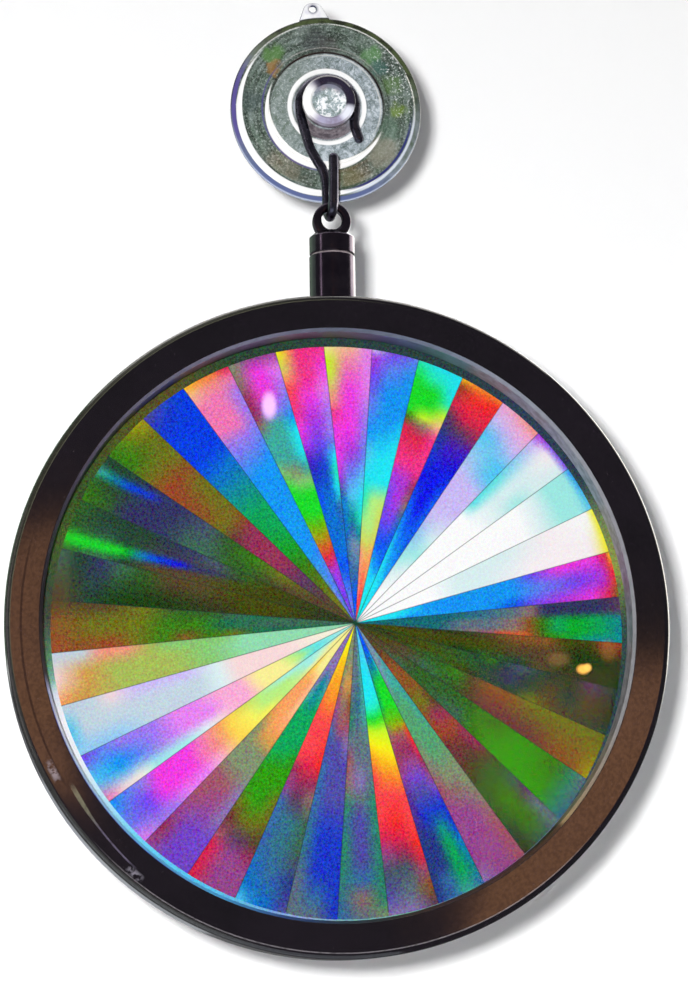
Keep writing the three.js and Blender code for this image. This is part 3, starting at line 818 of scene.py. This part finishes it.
def film(material):
    """The diffraction film: a thin disc of 36 tinted sectors with an untinted margin."""
    columns = SECTORS * SECTOR_STEPS
    film_r = (FILM_HIGH.x - FILM_LOW.x) / 2
    centre = Vector((RING_C.x, 0, RING_C.z))
    rows = [(i + 1) / RADIAL_STEPS for i in range(RADIAL_STEPS)]
    spokes, margin = [], []
    for k in range(columns):
        angle = math.radians(FIRST_EDGE + 360 * k / columns)
        direction = Vector((math.cos(angle), 0, math.sin(angle)))
        rim = PATTERN_C + direction * rim_distance(direction)
        outward = (rim - centre).normalized()
        spokes.append([*(PATTERN_C.lerp(rim, t) for t in rows), centre + outward * film_r])
        margin.append(around(MARGIN_TINTS, math.degrees(math.atan2(outward.z, outward.x))))
    verts = [(p.x, y, p.z) for y in (FILM_LOW.y, FILM_HIGH.y)
             for p in [PATTERN_C, *(p for spoke in spokes for p in spoke)]]
    spoke_count = RADIAL_STEPS + 1
    back = 1 + columns * spoke_count
    last = RADIAL_STEPS - 1
    faces, tints = [], []
    for k in range(columns):
        n = (k + 1) % columns
        sector, step = divmod(k, SECTOR_STEPS)
        low, high = ([sector_tint(sector, share / SECTOR_STEPS, t) for t in rows]
                     for share in (step, step + 1))
        for hub in (0, back):
            a, b = (hub + 1 + column * spoke_count for column in (k, n))
            faces.append((hub, a, b))
            tints.append([sector_tint(sector, 0.5, 0), low[0], high[0]])
            for i in range(last):
                faces.append((a + i, a + i + 1, b + i + 1, b + i))
                tints.append([low[i], low[i + 1], high[i + 1], high[i]])
            faces.append((a + last, a + last + 1, b + last + 1, b + last))
            tints.append([margin[k], margin[k], margin[n], margin[n]])
        a, b = (1 + column * spoke_count + RADIAL_STEPS for column in (k, n))
        faces.append((a, a + back, b + back, b))
        tints.append([EDGE_GREY] * 4)
    made = sheet("diffraction_film", verts, faces, material)
    tint = made.data.color_attributes.new("tint", "FLOAT_COLOR", "CORNER")
    for polygon, colours in zip(made.data.polygons, tints):
        for index, colour in zip(polygon.loop_indices, colours):
            tint.data[index].color = (*colour, 1)
    sharpen(made.data)
    return made


# ---- materials -----------------------------------------------------------------------------

def gloss_black(name):
    """The ring's black lacquer: near black with a violet cast, slightly uneven, with a few scuffs,
    and painted highlight lines and a painted reflection band near the outer edge of its front."""
    n = Turned(name, RING_C, ior=1.55)
    outer = RING_R / MM
    where = n.place()
    base = n.ramp(n.noise(where, 60, 3), (0.3, (9, 6, 11)), (0.7, (17, 12, 19)))
    dust = n.span(n.noise(where, 2600, 2), 0.70, 0.80)
    base = n.lay(base, n.times(dust, 0.12), 120, 110, 115)
    front = n.span(n.y, FRONT_Y + 0.6 * MM, FRONT_Y + 1.2 * MM, 1.0, 0.0)
    fleck = n.noise(where, 1300, 3, 0.65)

    def wear_and_sheen_flecks(mask, low, high, to_low, to_high):
        """Breaks a mark up into flecks and keeps it off the back: the scratch and scuffs, and the painted
        highlight and reflection near the edge.
        """
        return n.times(mask, n.span(fleck, low, high, to_low, to_high), front)

    def lower_left(from_degrees, to_degrees, start, end, smooth):
        turn = (math.radians(degrees - 360) for degrees in (from_degrees, to_degrees))
        return n.span(n.angle, *turn, start * MM, end * MM, smooth)

    depth = lower_left(212, 229, 3.45, 2.6, False)
    thick = lower_left(213, 221, 0.28, 0.06, True)
    scratch = n.stroke(n.math("SUBTRACT", RING_R, n.radius), depth, thick, 0.14 * MM)
    scratch = wear_and_sheen_flecks(n.times(scratch, n.side(220.5, 8.5, 1.5)), 0.30, 0.56, 0.35, 0.85)
    base = n.mix(scratch, base, n.two_tone(n.side(214, 3, 4), (82, 76, 94), (94, 94, 78)))
    for degrees, half, inset in ((207.4, 1.3, 2.0), (230.3, 1.0, 1.8)):
        scuff = n.arc(outer - inset - 0.5, outer - inset + 0.5, 0.3, degrees, half, 1.0)
        base = n.lay(base, wear_and_sheen_flecks(scuff, 0.40, 0.55, 0.0, 0.85), 112, 108, 118)
    # painted highlight: a thin light line along the outer fillet at the bottom
    bottom_highlight = n.arc(outer - 1.10, outer - 0.92, 0.06, 270, 42, 10)
    base = n.lay(base, wear_and_sheen_flecks(bottom_highlight, 0.30, 0.55, 0.3, 0.8), 108, 104, 108)
    # painted reflection: the rounded outer edge lighter, grey and olive, along the left side
    edge = wear_and_sheen_flecks(n.arc(outer - 0.80, outer - 0.10, 0.08, 172, 78, 12), 0.25, 0.6, 0.55, 0.95)
    base = n.mix(edge, base, n.two_tone(n.side(135, 38, 12), (44, 44, 43), (40, 40, 31)))
    # painted highlight: a thin light line just inside the outer edge, on the upper left
    top_highlight = n.times(n.arc(outer - 0.98, outer - 0.84, 0.05, 140, 52, 12), 0.8, front)
    base = n.lay(base, top_highlight, 72, 72, 58)
    n.set("base color", base)
    shine = n.span(n.noise(where, 1700, 2, 0.7), 0.3, 0.7, 0.40, 0.60)
    dull = n.arc(outer - 2.85, outer - 2.50, 0.12, 188, 20, 8)
    n.set("specular ior level", n.times(shine, n.span(dull, 0, 1, 1.0, 0.45)))
    n.set("roughness", n.span(n.noise(where, 180, 4), 0.35, 0.75, 0.07, 0.09))
    n.bump(n.noise(where, 220, 2), 0.015, 0.02 * MM)
    return n.material


def bevel_gloss(name, roughness, low, high):
    """The ring's bevel or bore, which carries the light it catches as a colour round the ring."""
    n = Turned(name, RING_C, specular_ior_level=0.2)
    wave = n.noise(n.place(), 700, 3, 0.6)
    # painted reflection: a blue line along the lip on the lower left
    outline = n.times(n.beyond(LIP_R / MM - 0.18, LIP_R / MM - 0.10), n.side(217, 22, 6), 0.9)
    tint = n.lay(n.add("Attribute", attribute_name="tint"), outline, 44, 50, 190)
    shade = n.span(wave, 0.3, 0.7, low, high)
    grey = n.add("CombineColor", {0: shade, 1: shade, 2: shade})
    n.set("base color", n.mix(1.0, tint, grey, "MULTIPLY"))
    n.set("roughness", n.span(wave, 0.3, 0.7, roughness, roughness + 0.12))
    return n.material


FOIL_GAIN = 0.61            # share of the tint that the light on it brings back to full

# Painted reflections seen in the disc: angle and radius about the pattern's centre, size in mm,
# colour, strength and stretch.
PAINTED_REFLECTIONS = [
    (348.4, 38.4, 1.25, (250, 180, 80), 0.95, (1.1, 0.85)),
    (349.0, 39.1, 1.0, (250, 190, 90), 0.9, (0.9, 0.9)),
    (353.6, 42.2, 2.0, (150, 100, 50), 0.3, (0.9, 1.2)),
    (349.8, 34.1, 2.0, (140, 106, 58), 0.3, (1.3, 0.8)),
    (110.8, 38.8, 2.2, (240, 196, 252), 0.65, (0.75, 1.4)),
]


def film_material():
    """Embossed foil: the sector's colour broken up by a fine sparkle, with dark seams between and a few
    painted reflections.
    """
    n = Surface("diffraction_foil", roughness=0.5, specular_ior_level=0.02)
    tint = n.add("Attribute", attribute_name="tint")
    flat = n.flattened()
    sparkle = n.scatter(flat, 2600, 2, 0.8)
    depth = n.span(n.add("RGBToBW", {0: tint}), 0.04, 0.75, 2.1, 0.24, False)
    gain = n.vector("ADD", n.stretched(sparkle, depth), (FOIL_GAIN,) * 3)
    colour = n.mix(1.0, tint, gain, "MULTIPLY")
    colour = n.vector("ADD", colour, n.stretched(sparkle, 0.06))
    radius, angle, _ = n.polar(PATTERN_C)
    turns = n.times(n.math("SUBTRACT", angle, math.radians(FIRST_EDGE)), SECTORS / (2 * math.pi))
    off = n.math("ABSOLUTE", n.math("SUBTRACT", turns, n.math("ROUND", turns)))
    off = n.times(off, 2 * math.pi / SECTORS, radius)
    reach, _, _ = n.polar(TINTED_C)
    seam = n.times(n.span(off, 0.03 * MM, 0.13 * MM, 0.62, 0.0),
                   n.span(reach, TINTED_R, TINTED_R + 0.1 * MM, 1.0, 0.0))
    colour = n.lay(colour, seam, 30, 45, 40)
    colour = n.lay(colour, n.span(radius, 0.25 * MM, 0.8 * MM, 0.95, 0.0), 12, 55, 35)
    # painted reflections laid on the film
    for degrees, distance, size, glow, strength, stretch in PAINTED_REFLECTIONS:
        turn = math.radians(degrees)
        spot = PATTERN_C + Vector((math.cos(turn), 0, math.sin(turn))) * distance * MM
        colour = n.blob(colour, spot.x, spot.z, size * MM, glow, strength, stretch)
    n.set("base color", colour)
    n.bump(n.noise(flat, 5200, 1), 0.15, 0.01 * MM)
    return n.material


def clear_sheet(name):
    """Clear acrylic: all that shows is its gloss, stronger at a slant, and a trace of dust."""
    n = Surface(name, metallic=1.0, roughness=0.03)
    gloss = n.add("Fresnel", {"IOR": 1.49})
    speck = n.span(n.noise(n.place(), 1800, 2), 0.72, 0.8, 0.0, 0.03)
    n.set("alpha", n.math("ADD", n.times(gloss, 0.1), speck, clamp=True))
    cloud = n.noise(n.place(), 40, 2)
    n.set("base color", n.ramp(cloud, (0.3, (240, 244, 255)), (0.7, (250, 250, 255))))
    return n.material


def nickel(name, dark, light, roughness, brushed=0.0):
    """Dark plated metal with a faint grain and polished-through high spots."""
    n = Surface(name, metallic=1.0)
    where = n.place()
    n.set("base color", n.ramp(n.noise(where, 380, 4, 0.6), (0.3, dark), (0.7, light)))
    n.set("roughness", n.span(n.noise(where, 900, 3), 0.3, 0.7, roughness * 0.8, roughness * 1.3))
    grain = n.add("Mapping", {"Vector": where, "Scale": (1.0, 1.0, 0.06 if brushed else 1.0)})
    n.bump(n.noise(grain, 2400, 2), 0.08 + brushed, 0.02 * MM)
    return n.material


def washer_material():
    n = Surface("dark_washer", roughness=0.5)
    n.set("base color", n.ramp(n.noise(n.place(), 900, 3), (0.3, (96, 88, 92)), (0.7, (150, 138, 140))))
    n.bump(n.noise(n.place(), 1800, 2), 0.2, 0.02 * MM)
    return n.material


CUP_GAIN = 0.76             # share of the painted colours that the light brings back to full
TAB_LEAN = 6.4              # degrees
TAB_TOP = 19.15             # millimetres from the cup's axis
TAB_HOLE_FROM_TOP = 1.15

# Blurred leaves and stones seen through the cup: x, z and size in mm, colour, strength.
PATCHES = [
    (-8.9, 9.6, 2.4, (92, 140, 60), 0.6), (-9.2, 7.1, 2.0, (160, 112, 40), 0.65),
    (7.9, 9.5, 2.4, (96, 150, 84), 0.6), (9.3, 7.4, 2.2, (62, 106, 98), 0.6),
    (12.4, -0.3, 2.3, (116, 144, 40), 0.65), (11.2, 4.4, 2.2, (92, 128, 56), 0.5),
    (9.4, -7.4, 3.8, (150, 146, 130), 0.6), (3.6, -12.4, 3.4, (74, 92, 58), 0.5),
    (-12.9, 1.0, 2.6, (56, 72, 74), 0.5), (-2.0, 12.3, 3.4, (60, 60, 66), 0.55),
    (0.5, 11.0, 2.2, (56, 44, 44), 0.5), (-5.5, -11.2, 3.0, (54, 84, 76), 0.5),
    (10.8, -3.6, 2.6, (96, 124, 104), 0.5),
]


class Cup(Turned):
    """Clear PVC over foliage and sky, with its zones from the middle out: head, neck, frosted inner
    zone, mottled outer zone, rim and tab. Light and shade are painted in: crescents of light along the
    raised rings, highlights and dark reflections on the head and rim, shade under the head and in the tab's
    hole."""

    def __init__(self):
        super().__init__("clear_pvc", (0, 0, 0), roughness=0.16, ior=1.5,
                         coat_weight=0.5, coat_roughness=0.05)
        self.flat = self.flattened()
        shift = self.stretched(self.scatter(self.flat, 420, 3, 0.6), 4.2 * MM)
        self.warped = self.vector("ADD", self.flat, shift)
        round_axis = {0: self.times(self.angle, 3.4 * MM), 1: self.times(self.radius, 1.6)}
        self.swirl = self.noise(self.add("CombineXYZ", round_axis), 700, 4, 0.7)
        self.fine = self.noise(self.flat, 2300, 3, 0.8)
        self.coarse = self.noise(self.flat, 300, 4, 0.65)
        self.set("base color", self.mix(1.0, self.all_zones(), (*(CUP_GAIN,) * 3, 1), "MULTIPLY"))
        self.bump(self.fine, 0.25, 0.05 * MM)

    def blotched(self, from_rgb, to_rgb, low=0.4, high=0.6, by=None):
        return self.two_tone(self.span(by or self.coarse, low, high), from_rgb, to_rgb)

    def mottled(self):
        dark = self.blotched((22, 32, 22), (56, 70, 60), 0.35, 0.65)
        light = self.blotched((82, 108, 86), (152, 166, 162), 0.35, 0.65)
        colour = self.mix(self.span(self.swirl, 0.38, 0.62), dark, light)
        grain = self.ramp(self.fine, (0.36, (28, 34, 32)), (0.50, (84, 98, 88)), (0.60, (160, 170, 165)),
                          (0.68, (240, 244, 242)))
        colour = self.mix(0.46, colour, grain)
        for x, z, size, rgb, strength in PATCHES:
            colour = self.blob(colour, x * MM, z * MM, size * MM, rgb, strength, where=self.warped)
        # painted glints on the right of the outer zone
        glint = self.times(self.span(self.fine, 0.56, 0.64), self.side(22, 24, 14), self.beyond(11.0, 12.5))
        return self.lay(colour, glint, 240, 242, 244)

    def frosted(self):
        colour = self.ramp(self.noise(self.warped, 900, 4, 0.75), (0.34, (96, 110, 108)),
                           (0.5, (150, 162, 168)), (0.64, (205, 214, 222)))
        leaves = self.two_tone(self.swirl, (70, 88, 70), (126, 140, 122))
        colour = self.mix(self.times(self.side(172, 66, 40), 0.6), colour, leaves)
        return self.lay(colour, self.times(self.span(self.fine, 0.55, 0.65), 0.5), 235, 240, 244)

    def rim(self):
        colour = self.ramp(self.noise(self.flat, 500, 3), (0.35, (84, 98, 84)), (0.65, (140, 148, 156)))
        # painted reflections: the rim darker green towards the top, violet on the left and blue at the
        # bottom
        colour = self.mix(self.side(75, 66, 22), colour, self.blotched((40, 46, 30), (80, 92, 56)))
        colour = self.lay(colour, self.side(178, 22, 16), 92, 82, 150)
        return self.lay(colour, self.side(258, 48, 20), 92, 104, 150)

    def neck_shade(self):
        # painted shadow under the head: darker blotches on the lower side of the neck, pale elsewhere
        shade_below_head = self.blotched((78, 66, 74), (128, 116, 122), by=self.swirl)
        colour = self.mix(self.side(262, 62, 20), srgb(176, 182, 194), shade_below_head)
        # painted shade: a dark band on the upper side of the neck
        return self.lay(colour, self.side(100, 62, 24), 66, 64, 78)

    def head(self):
        colour = self.blotched((150, 142, 166), (176, 172, 200))
        # painted reflection: dark on the upper right of the head
        colour = self.lay(colour, self.side(55, 78, 20), 38, 32, 52)
        # painted highlights: white on the left and on the lower right
        colour = self.lay(colour, self.side(185, 44, 16), 255, 255, 255)
        colour = self.lay(colour, self.side(325, 16, 12), 236, 238, 250)
        # painted shade along the head's foot at the bottom
        shaded_foot = self.times(self.side(268, 45, 16), self.beyond(4.1, 4.25), 0.7)
        colour = self.lay(colour, shaded_foot, 104, 92, 104)
        recess = self.ramp(self.noise(self.warped, 620, 4, 0.7), (0.36, (110, 124, 116)),
                           (0.50, (160, 176, 180)), (0.58, (250, 252, 255)))
        # painted shade: the recess darker on its upper side
        recess = self.lay(recess, self.times(self.side(90, 60, 30), self.beyond(1.6, 2.8)), 120, 122, 140)
        return self.mix(self.beyond(2.8, 3.0, 1.0, 0.0), colour, recess)

    def tab(self, facing_x, facing_y):
        colour = self.ramp(self.noise(self.flat, 800, 3), (0.3, (228, 226, 240)), (0.6, (255, 255, 255)))
        # painted dark reflections on the tab's sides: violet on the left, olive on the right
        edge = self.span(self.math("ABSOLUTE", facing_y), 0.80, 0.97, 1.0, 0.0)
        colour = self.mix(edge, colour, self.blotched((86, 70, 128), (70, 74, 70), -0.3, 0.5, facing_x))
        # painted shade in the tab's hole
        hole = Matrix.Rotation(math.radians(TAB_LEAN), 2) @ Vector((0, TAB_TOP - TAB_HOLE_FROM_TOP)) * MM
        return self.blob(colour, hole.x, hole.y, 1.15 * MM, (40, 44, 84), 1.0)

    def all_zones(self):
        facing_x, facing_y, _ = self.split(self.add("TexCoord", out="Normal"))
        colour = self.mix(self.beyond(9.45, 9.7), self.frosted(), self.mottled())
        # painted shade: a dark line along the step on the upper right
        colour = self.lay(colour, self.arc(9.55, 10.0, 0.15, 75, 75, 30), 40, 30, 30)
        # painted highlight: a thin white line along the step on the upper right
        colour = self.lay(colour, self.times(self.arc(9.1, 9.32, 0.10, 40, 60, 30), 0.85), 225, 225, 222)
        # painted highlight: a white crescent along the raised ring on the lower left
        inner = self.crescent(10.15, 0.62, 0.16, (248, 58, 38), (246, 86, 9))
        colour = self.lay(colour, inner, 255, 254, 252)
        # painted reflection: a violet line along the step on the left
        colour = self.lay(colour, self.times(self.arc(10.85, 11.1, 0.12, 205, 62, 18), 0.8), 82, 70, 140)
        colour = self.mix(self.beyond(15.35, 15.5), colour, self.rim())
        # painted highlight: a white crescent along the rim on the lower left
        outer = self.crescent(14.85, 0.5, 0.14, (222, 45, 45), (225, 82, 10))
        colour = self.lay(colour, outer, 255, 255, 255)
        # painted highlight: a pale line along the rim on the lower right
        colour = self.lay(colour, self.arc(14.95, 15.35, 0.14, 322, 34, 10), 228, 236, 250)
        # painted reflection: a dark blue line inside the rim on the lower right
        colour = self.lay(colour, self.arc(14.4, 14.8, 0.12, 318, 30, 10), 44, 48, 110)
        # painted shade and highlight: the rim's outer edge dark, pale at the bottom
        outline = self.times(self.beyond(16.0, 16.2), self.beyond(16.32, 16.4, 1.0, 0.0), 0.8)
        rim_edge_shade_and_highlight = self.two_tone(self.side(270, 70, 30), (62, 64, 60), (196, 206, 226))
        colour = self.mix(outline, colour, rim_edge_shade_and_highlight)
        # painted highlight: a white ring round the foot of the neck
        colour = self.lay(colour, self.arc(5.95, 6.75, 0.10), 255, 255, 255)
        # painted shade round the neck under the head
        colour = self.mix(self.times(self.arc(3.9, 5.75, 0.15), 0.9), colour, self.neck_shade())
        colour = self.mix(self.span(self.y, -2.9 * MM, -3.4 * MM), colour, self.head())
        colour = self.mix(self.beyond(16.32, 16.45), colour, self.tab(facing_x, facing_y))
        behind = self.times(self.span(facing_y, 0.25, 0.5), self.beyond(15.6, 16.0, 0.75, 0.0))
        back = self.ramp(self.noise(self.flat, 420, 4, 0.6), (0.34, (112, 124, 118)),
                         (0.66, (168, 178, 178)))
        return self.mix(behind, colour, back)


# ---- pieces --------------------------------------------------------------------------------

def scaled(rows):
    return [tuple(value * MM for value in row) for row in rows]


def points(*rows):
    return [Vector(row) for row in scaled(rows)]


def evaluated(made):
    """Applies the object's modifiers to its mesh."""
    depsgraph = bpy.context.evaluated_depsgraph_get()
    mesh = bpy.data.meshes.new_from_object(made.evaluated_get(depsgraph))
    made.modifiers.clear()
    made.data = mesh


def union(made, other):
    made.modifiers.clear()
    joined = made.modifiers.new("union", "BOOLEAN")
    joined.operation = "UNION"
    joined.solver = "EXACT"
    joined.object = other
    evaluated(made)
    bpy.data.objects.remove(other)
    sharpen(made.data)
    return level_normals(made)


def settle(made, body, replaced):
    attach(made, body)
    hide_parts(replaced)


# The ring, the film, the clear discs and the retaining band.

SEAT_GAP = 0.05 * MM        # between the disc and the shoulder it sits against
lacquer = gloss_black("black_lacquer")
ring = turned("ring_frame", [
    (RING_R, FRONT_Y, 1.0 * MM), (RING_R, BACK_Y, 0.4 * MM), (REBATE_R, BACK_Y, 0.1 * MM),
    (REBATE_R, DISC_LOW.y - SEAT_GAP, 0.0), (BORE_R, DISC_LOW.y - SEAT_GAP, 0.05 * MM),
    (BORE_R, FRONT_Y + 0.8 * MM, 0.12 * MM), (LIP_R, FRONT_Y, 0.12 * MM)],
    [lacquer, bevel_gloss("ring_bevel", 0.4, 0.60, 0.72), bevel_gloss("ring_bore", 0.45, 0.40, 0.85)],
    centre=RING_C, sides=288, side_material=[0, 0, 0, 0, 2, 1, 0])


def ring_tint(co):
    degrees = math.degrees(math.atan2(co.z - RING_C.z, co.x - RING_C.x))
    return around(BEVEL_TINTS if co.y < FRONT_Y + 1.0 * MM else BORE_TINTS, degrees)


paint(ring, ring_tint)
settle(ring, "hung_frame", "frame_ring")
settle(film(film_material()), "hung_frame", "grating_film")

acrylic = clear_sheet("clear_acrylic")
DISC_R = (DISC_HIGH.x - DISC_LOW.x) / 2
DISC_EDGE = 0.25 * MM
for name, low, high, node in (("front_glazing", DISC_LOW, DISC_HIGH, "front_disc"),
                              ("rear_glazing", REAR_LOW, REAR_HIGH, "rear_disc")):
    outline = [(0, low.y, 0), (DISC_R, low.y, DISC_EDGE), (DISC_R, high.y, DISC_EDGE), (0, high.y, 0)]
    disc = turned(name, outline, [acrylic], centre=RING_C, sides=240)
    settle(disc, "hung_frame", node)

RETAINER_R = (RETAINER_HIGH.x - RETAINER_LOW.x) / 2
CHAMFER = 0.4 * MM
retainer = turned("retaining_band", [
    (RETAINER_R, RETAINER_LOW.y, 0.1 * MM), (RETAINER_R, RETAINER_HIGH.y, 0.1 * MM),
    (BORE_R + CHAMFER, RETAINER_HIGH.y, 0.1 * MM), (BORE_R, RETAINER_HIGH.y - CHAMFER, 0.1 * MM),
    (BORE_R, RETAINER_LOW.y, 0.05 * MM)], [lacquer], centre=RING_C, sides=288)
settle(retainer, "hung_frame", "retaining_ring")

# The suction cup. Its outline goes from the hollow at the window, out round the rim, and back in
# over the raised rings, the neck and the head.

HOLLOW_R = 13.2
HOLLOW_DEPTH = 1.4
HOLLOW_STEPS = 8
pvc = Cup().material
hollow = [(HOLLOW_R * k / HOLLOW_STEPS, -HOLLOW_DEPTH * (1 - (k / HOLLOW_STEPS) ** 2), 0)
          for k in range(HOLLOW_STEPS + 1)]
cup = turned("suction_cup_body", scaled([
    *hollow, (16.15, 0, 0.05), (16.3, -0.2, 0.05), (16.3, -0.62, 0.15), (15.75, -0.85, 0.2),
    (15.35, -0.95, 0.15), (15.0, -1.35, 0.3), (14.4, -1.35, 0.3), (14.0, -1.1, 0.3), (11.8, -1.4, 0.6),
    (10.9, -1.5, 0.3), (10.6, -1.85, 0.3), (10.0, -1.9, 0.2), (9.8, -1.7, 0.1), (9.6, -2.05, 0.15),
    (9.1, -2.22, 0.2), (7.0, -2.25, 0.3), (6.8, -2.5, 0.2), (6.1, -2.5, 0.2), (5.9, -2.3, 0.2),
    (3.8, -2.3, 0.2), (3.5, -2.55, 0.15), (3.5, -4.55, 0.15), (4.2, -4.62, 0.2), (4.5, -4.9, 0.25),
    (4.5, -6.0, 0.3), (4.1, -6.3, 0.2), (3.2, -6.3, 0.15), (2.9, -5.95, 0.2), (2.0, -5.8, 0.5),
    (0, -5.8, 0)]),
    [pvc], sides=144, steps=4)

TAB_FOOT = 14.2
TAB_HALF_FOOT = 3.5
TAB_SLOPE = math.tan(math.radians(25))
TAB_CORNER = 1.6
TAB_FRONT_BACK = (-0.95, -0.15)
TAB_HOLE_R = 0.55
TAB_SPOKES = 48


def reach_to(outline, origin, ray):
    """How far the outline is from a point inside it, along a ray."""
    nearest = math.inf
    for a, b in zip([outline[-1], *outline], outline):
        edge, start = b - a, a - origin
        cross = ray.x * edge.y - ray.y * edge.x
        if abs(cross) < 1e-9:
            continue
        reach = (start.x * edge.y - start.y * edge.x) / cross
        share = (start.x * ray.y - start.y * ray.x) / cross
        if reach > 0 and -1e-6 <= share <= 1 + 1e-6:
            nearest = min(nearest, reach)
    return nearest


def tab(material):
    """The pull tab: a rounded triangle with a small hole, laid along the cup's edge."""
    half_top = TAB_HALF_FOOT - TAB_SLOPE * (TAB_TOP - TAB_FOOT)
    corners = [(-TAB_HALF_FOOT, TAB_FOOT, 0), (TAB_HALF_FOOT, TAB_FOOT, 0),
               (half_top, TAB_TOP, TAB_CORNER), (-half_top, TAB_TOP, TAB_CORNER)]
    hole = Vector((0, TAB_TOP - TAB_HOLE_FROM_TOP))
    outline = [Vector(point[:2]) for point in fillet(corners, 10)]
    outline.sort(key=lambda point: math.atan2(point.y - hole.y, point.x))
    turn = Matrix.Rotation(math.radians(TAB_LEAN), 2)
    angles = [-math.pi + 2 * math.pi * k / TAB_SPOKES for k in range(TAB_SPOKES)]
    rays = [Vector((math.cos(angle), math.sin(angle))) for angle in angles]
    verts = []
    for y in TAB_FRONT_BACK:
        for reaches in ([TAB_HOLE_R] * TAB_SPOKES, [reach_to(outline, hole, ray) for ray in rays]):
            for ray, reach in zip(rays, reaches):
                flat = turn @ (hole + ray * reach)
                verts.append(Vector((flat.x, y, flat.y)) * MM)
    front_hole, front_edge, back_hole, back_edge = (k * TAB_SPOKES for k in range(4))
    faces = []
    for k in range(TAB_SPOKES):
        m = (k + 1) % TAB_SPOKES
        for one, other in ((front_hole, front_edge), (back_edge, back_hole), (back_hole, front_hole),
                           (front_edge, back_edge)):
            faces.append((one + k, one + m, other + m, other + k))
    made = piece("tab", verts, faces, [material])
    rounded = made.modifiers.new("edges", "BEVEL")
    rounded.width = 0.28 * MM
    rounded.segments = 2
    rounded.limit_method = "ANGLE"
    evaluated(made)
    return made


union(cup, tab(pvc))
settle(cup, "cup", "suction_cup")

# The hook: its free end, the arch over the cup's neck, the leg, the bowl and the front leg.

WIRE_R = 0.825 * MM
ARCH_R = 4.75
ARCH_Y = -3.42
ARCH_STEPS = 16
BOWL_R = 2.3
BOWL_Y = -6.8
BOWL_TOP = -18.15
BOWL_STEPS = 12
FRONT_LEG_Y = -9.1
wire_metal = nickel("dark_wire", (62, 60, 74), (98, 96, 110), 0.28)
arch = []
for k in range(ARCH_STEPS + 1):
    angle = math.pi * k / ARCH_STEPS
    arch.append((ARCH_R * math.cos(angle), ARCH_Y, -0.1 + ARCH_R * math.sin(angle)))
bowl = []
for k in range(BOWL_STEPS + 1):
    angle = math.pi * k / BOWL_STEPS
    bowl.append((-0.45 + 0.6 * k / BOWL_STEPS, BOWL_Y + BOWL_R * math.cos(angle),
                 BOWL_TOP - BOWL_R * math.sin(angle)))
hook_points = points(
    (5.25, ARCH_Y, -5.8), (4.85, ARCH_Y, -4.6), (4.5, ARCH_Y, -3.3), (4.6, ARCH_Y, -1.7), *arch,
    (-4.66, -3.45, -1.5), (-4.4, -3.54, -3.0), (-3.85, -3.82, -5.3), (-3.15, -4.2, -7.9),
    (-2.1, -4.45, -10.0), (-1.15, -4.5, -11.7), (-0.65, -4.5, -13.5), (-0.5, -4.5, -15.8), *bowl,
    (0.2, FRONT_LEG_Y, -15.5), (0.25, FRONT_LEG_Y, -13.0), (0.25, FRONT_LEG_Y, -10.9))
hook = tube("hook_wire_bar", smooth_path(hook_points, 6), WIRE_R, [wire_metal], around=28)
settle(hook, "hook", "hook_wire")

# The swivel: the eye with its cap, the washer in the seam, the barrel and the pin.

EYE_MID_Z = -21.4 * MM
EYE_R = 3.2 * MM
EYE_TURNED_R = 2.0 * MM     # the hole before it is moved and made smaller
EYE_HALF = 0.9 * MM
EYE_ROUND = 0.35 * MM
EYE_HOLE_Z = -21.15 * MM
EYE_HOLE_R = 1.74 * MM
dark_metal = nickel("dark_plate", (62, 54, 68), (84, 76, 88), 0.16)
eye = turned("swivel_eye_cap", [
    (EYE_R, AXIS_Y - EYE_HALF, EYE_ROUND), (EYE_R, AXIS_Y + EYE_HALF, EYE_ROUND),
    (EYE_TURNED_R, AXIS_Y + EYE_HALF, EYE_ROUND), (EYE_TURNED_R, AXIS_Y - EYE_HALF, EYE_ROUND)],
    [dark_metal], centre=(0, 0, EYE_MID_Z), sides=96)
for vertex in eye.data.vertices:
    spoke = Vector((vertex.co.x, 0, vertex.co.z - EYE_MID_Z))
    inwards = (EYE_R - spoke.length) / (EYE_R - EYE_TURNED_R)
    outer_point = Vector((0, 0, EYE_MID_Z)) + spoke.normalized() * EYE_R
    inner_point = Vector((0, 0, EYE_HOLE_Z)) + spoke.normalized() * EYE_HOLE_R
    place = outer_point.lerp(inner_point, inwards)
    vertex.co = (place.x, vertex.co.y, place.z)


def on_swivel(name, outline, material):
    """A piece turned about the swivel's own axis."""
    return turned(name, scaled(outline), [material], centre=(0, AXIS_Y, 0), along="Z", sides=96)


union(eye, on_swivel("cap", [
    (0, -23.35, 0), (2.75, -23.35, 0.25), (3.75, -24.2, 0.2), (3.75, -27.05, 0.12), (2.6, -27.05, 0),
    (1.05, -27.05, 0), (1.05, -24.85, 0), (0, -24.85, 0)], dark_metal))
settle(eye, "swivel", "swivel_eye")

washer = on_swivel("swivel_washer_disc", [
    (3.45, -27.1, 0.08), (3.45, -27.4, 0.08), (1.1, -27.4, 0), (1.1, -27.1, 0)], washer_material())
settle(washer, "swivel", "swivel_washer")

barrel = on_swivel("swivel_barrel_sleeve", [
    (1.1, -27.45, 0), (3.8, -27.45, 0.15), (3.8, -35.32, 0), (0, -35.32, 0), (0, -32.6, 0),
    (2.5, -32.6, 0.1), (2.5, -29.3, 0.1), (1.1, -29.3, 0)], dark_metal)
settle(barrel, "hung_frame", "swivel_barrel")

pin = frame["nodes"]["swivel_pin"]
pin.data.materials.clear()
pin.data.materials.append(nickel("steel", (150, 150, 150), (190, 190, 192), 0.3, brushed=0.1))
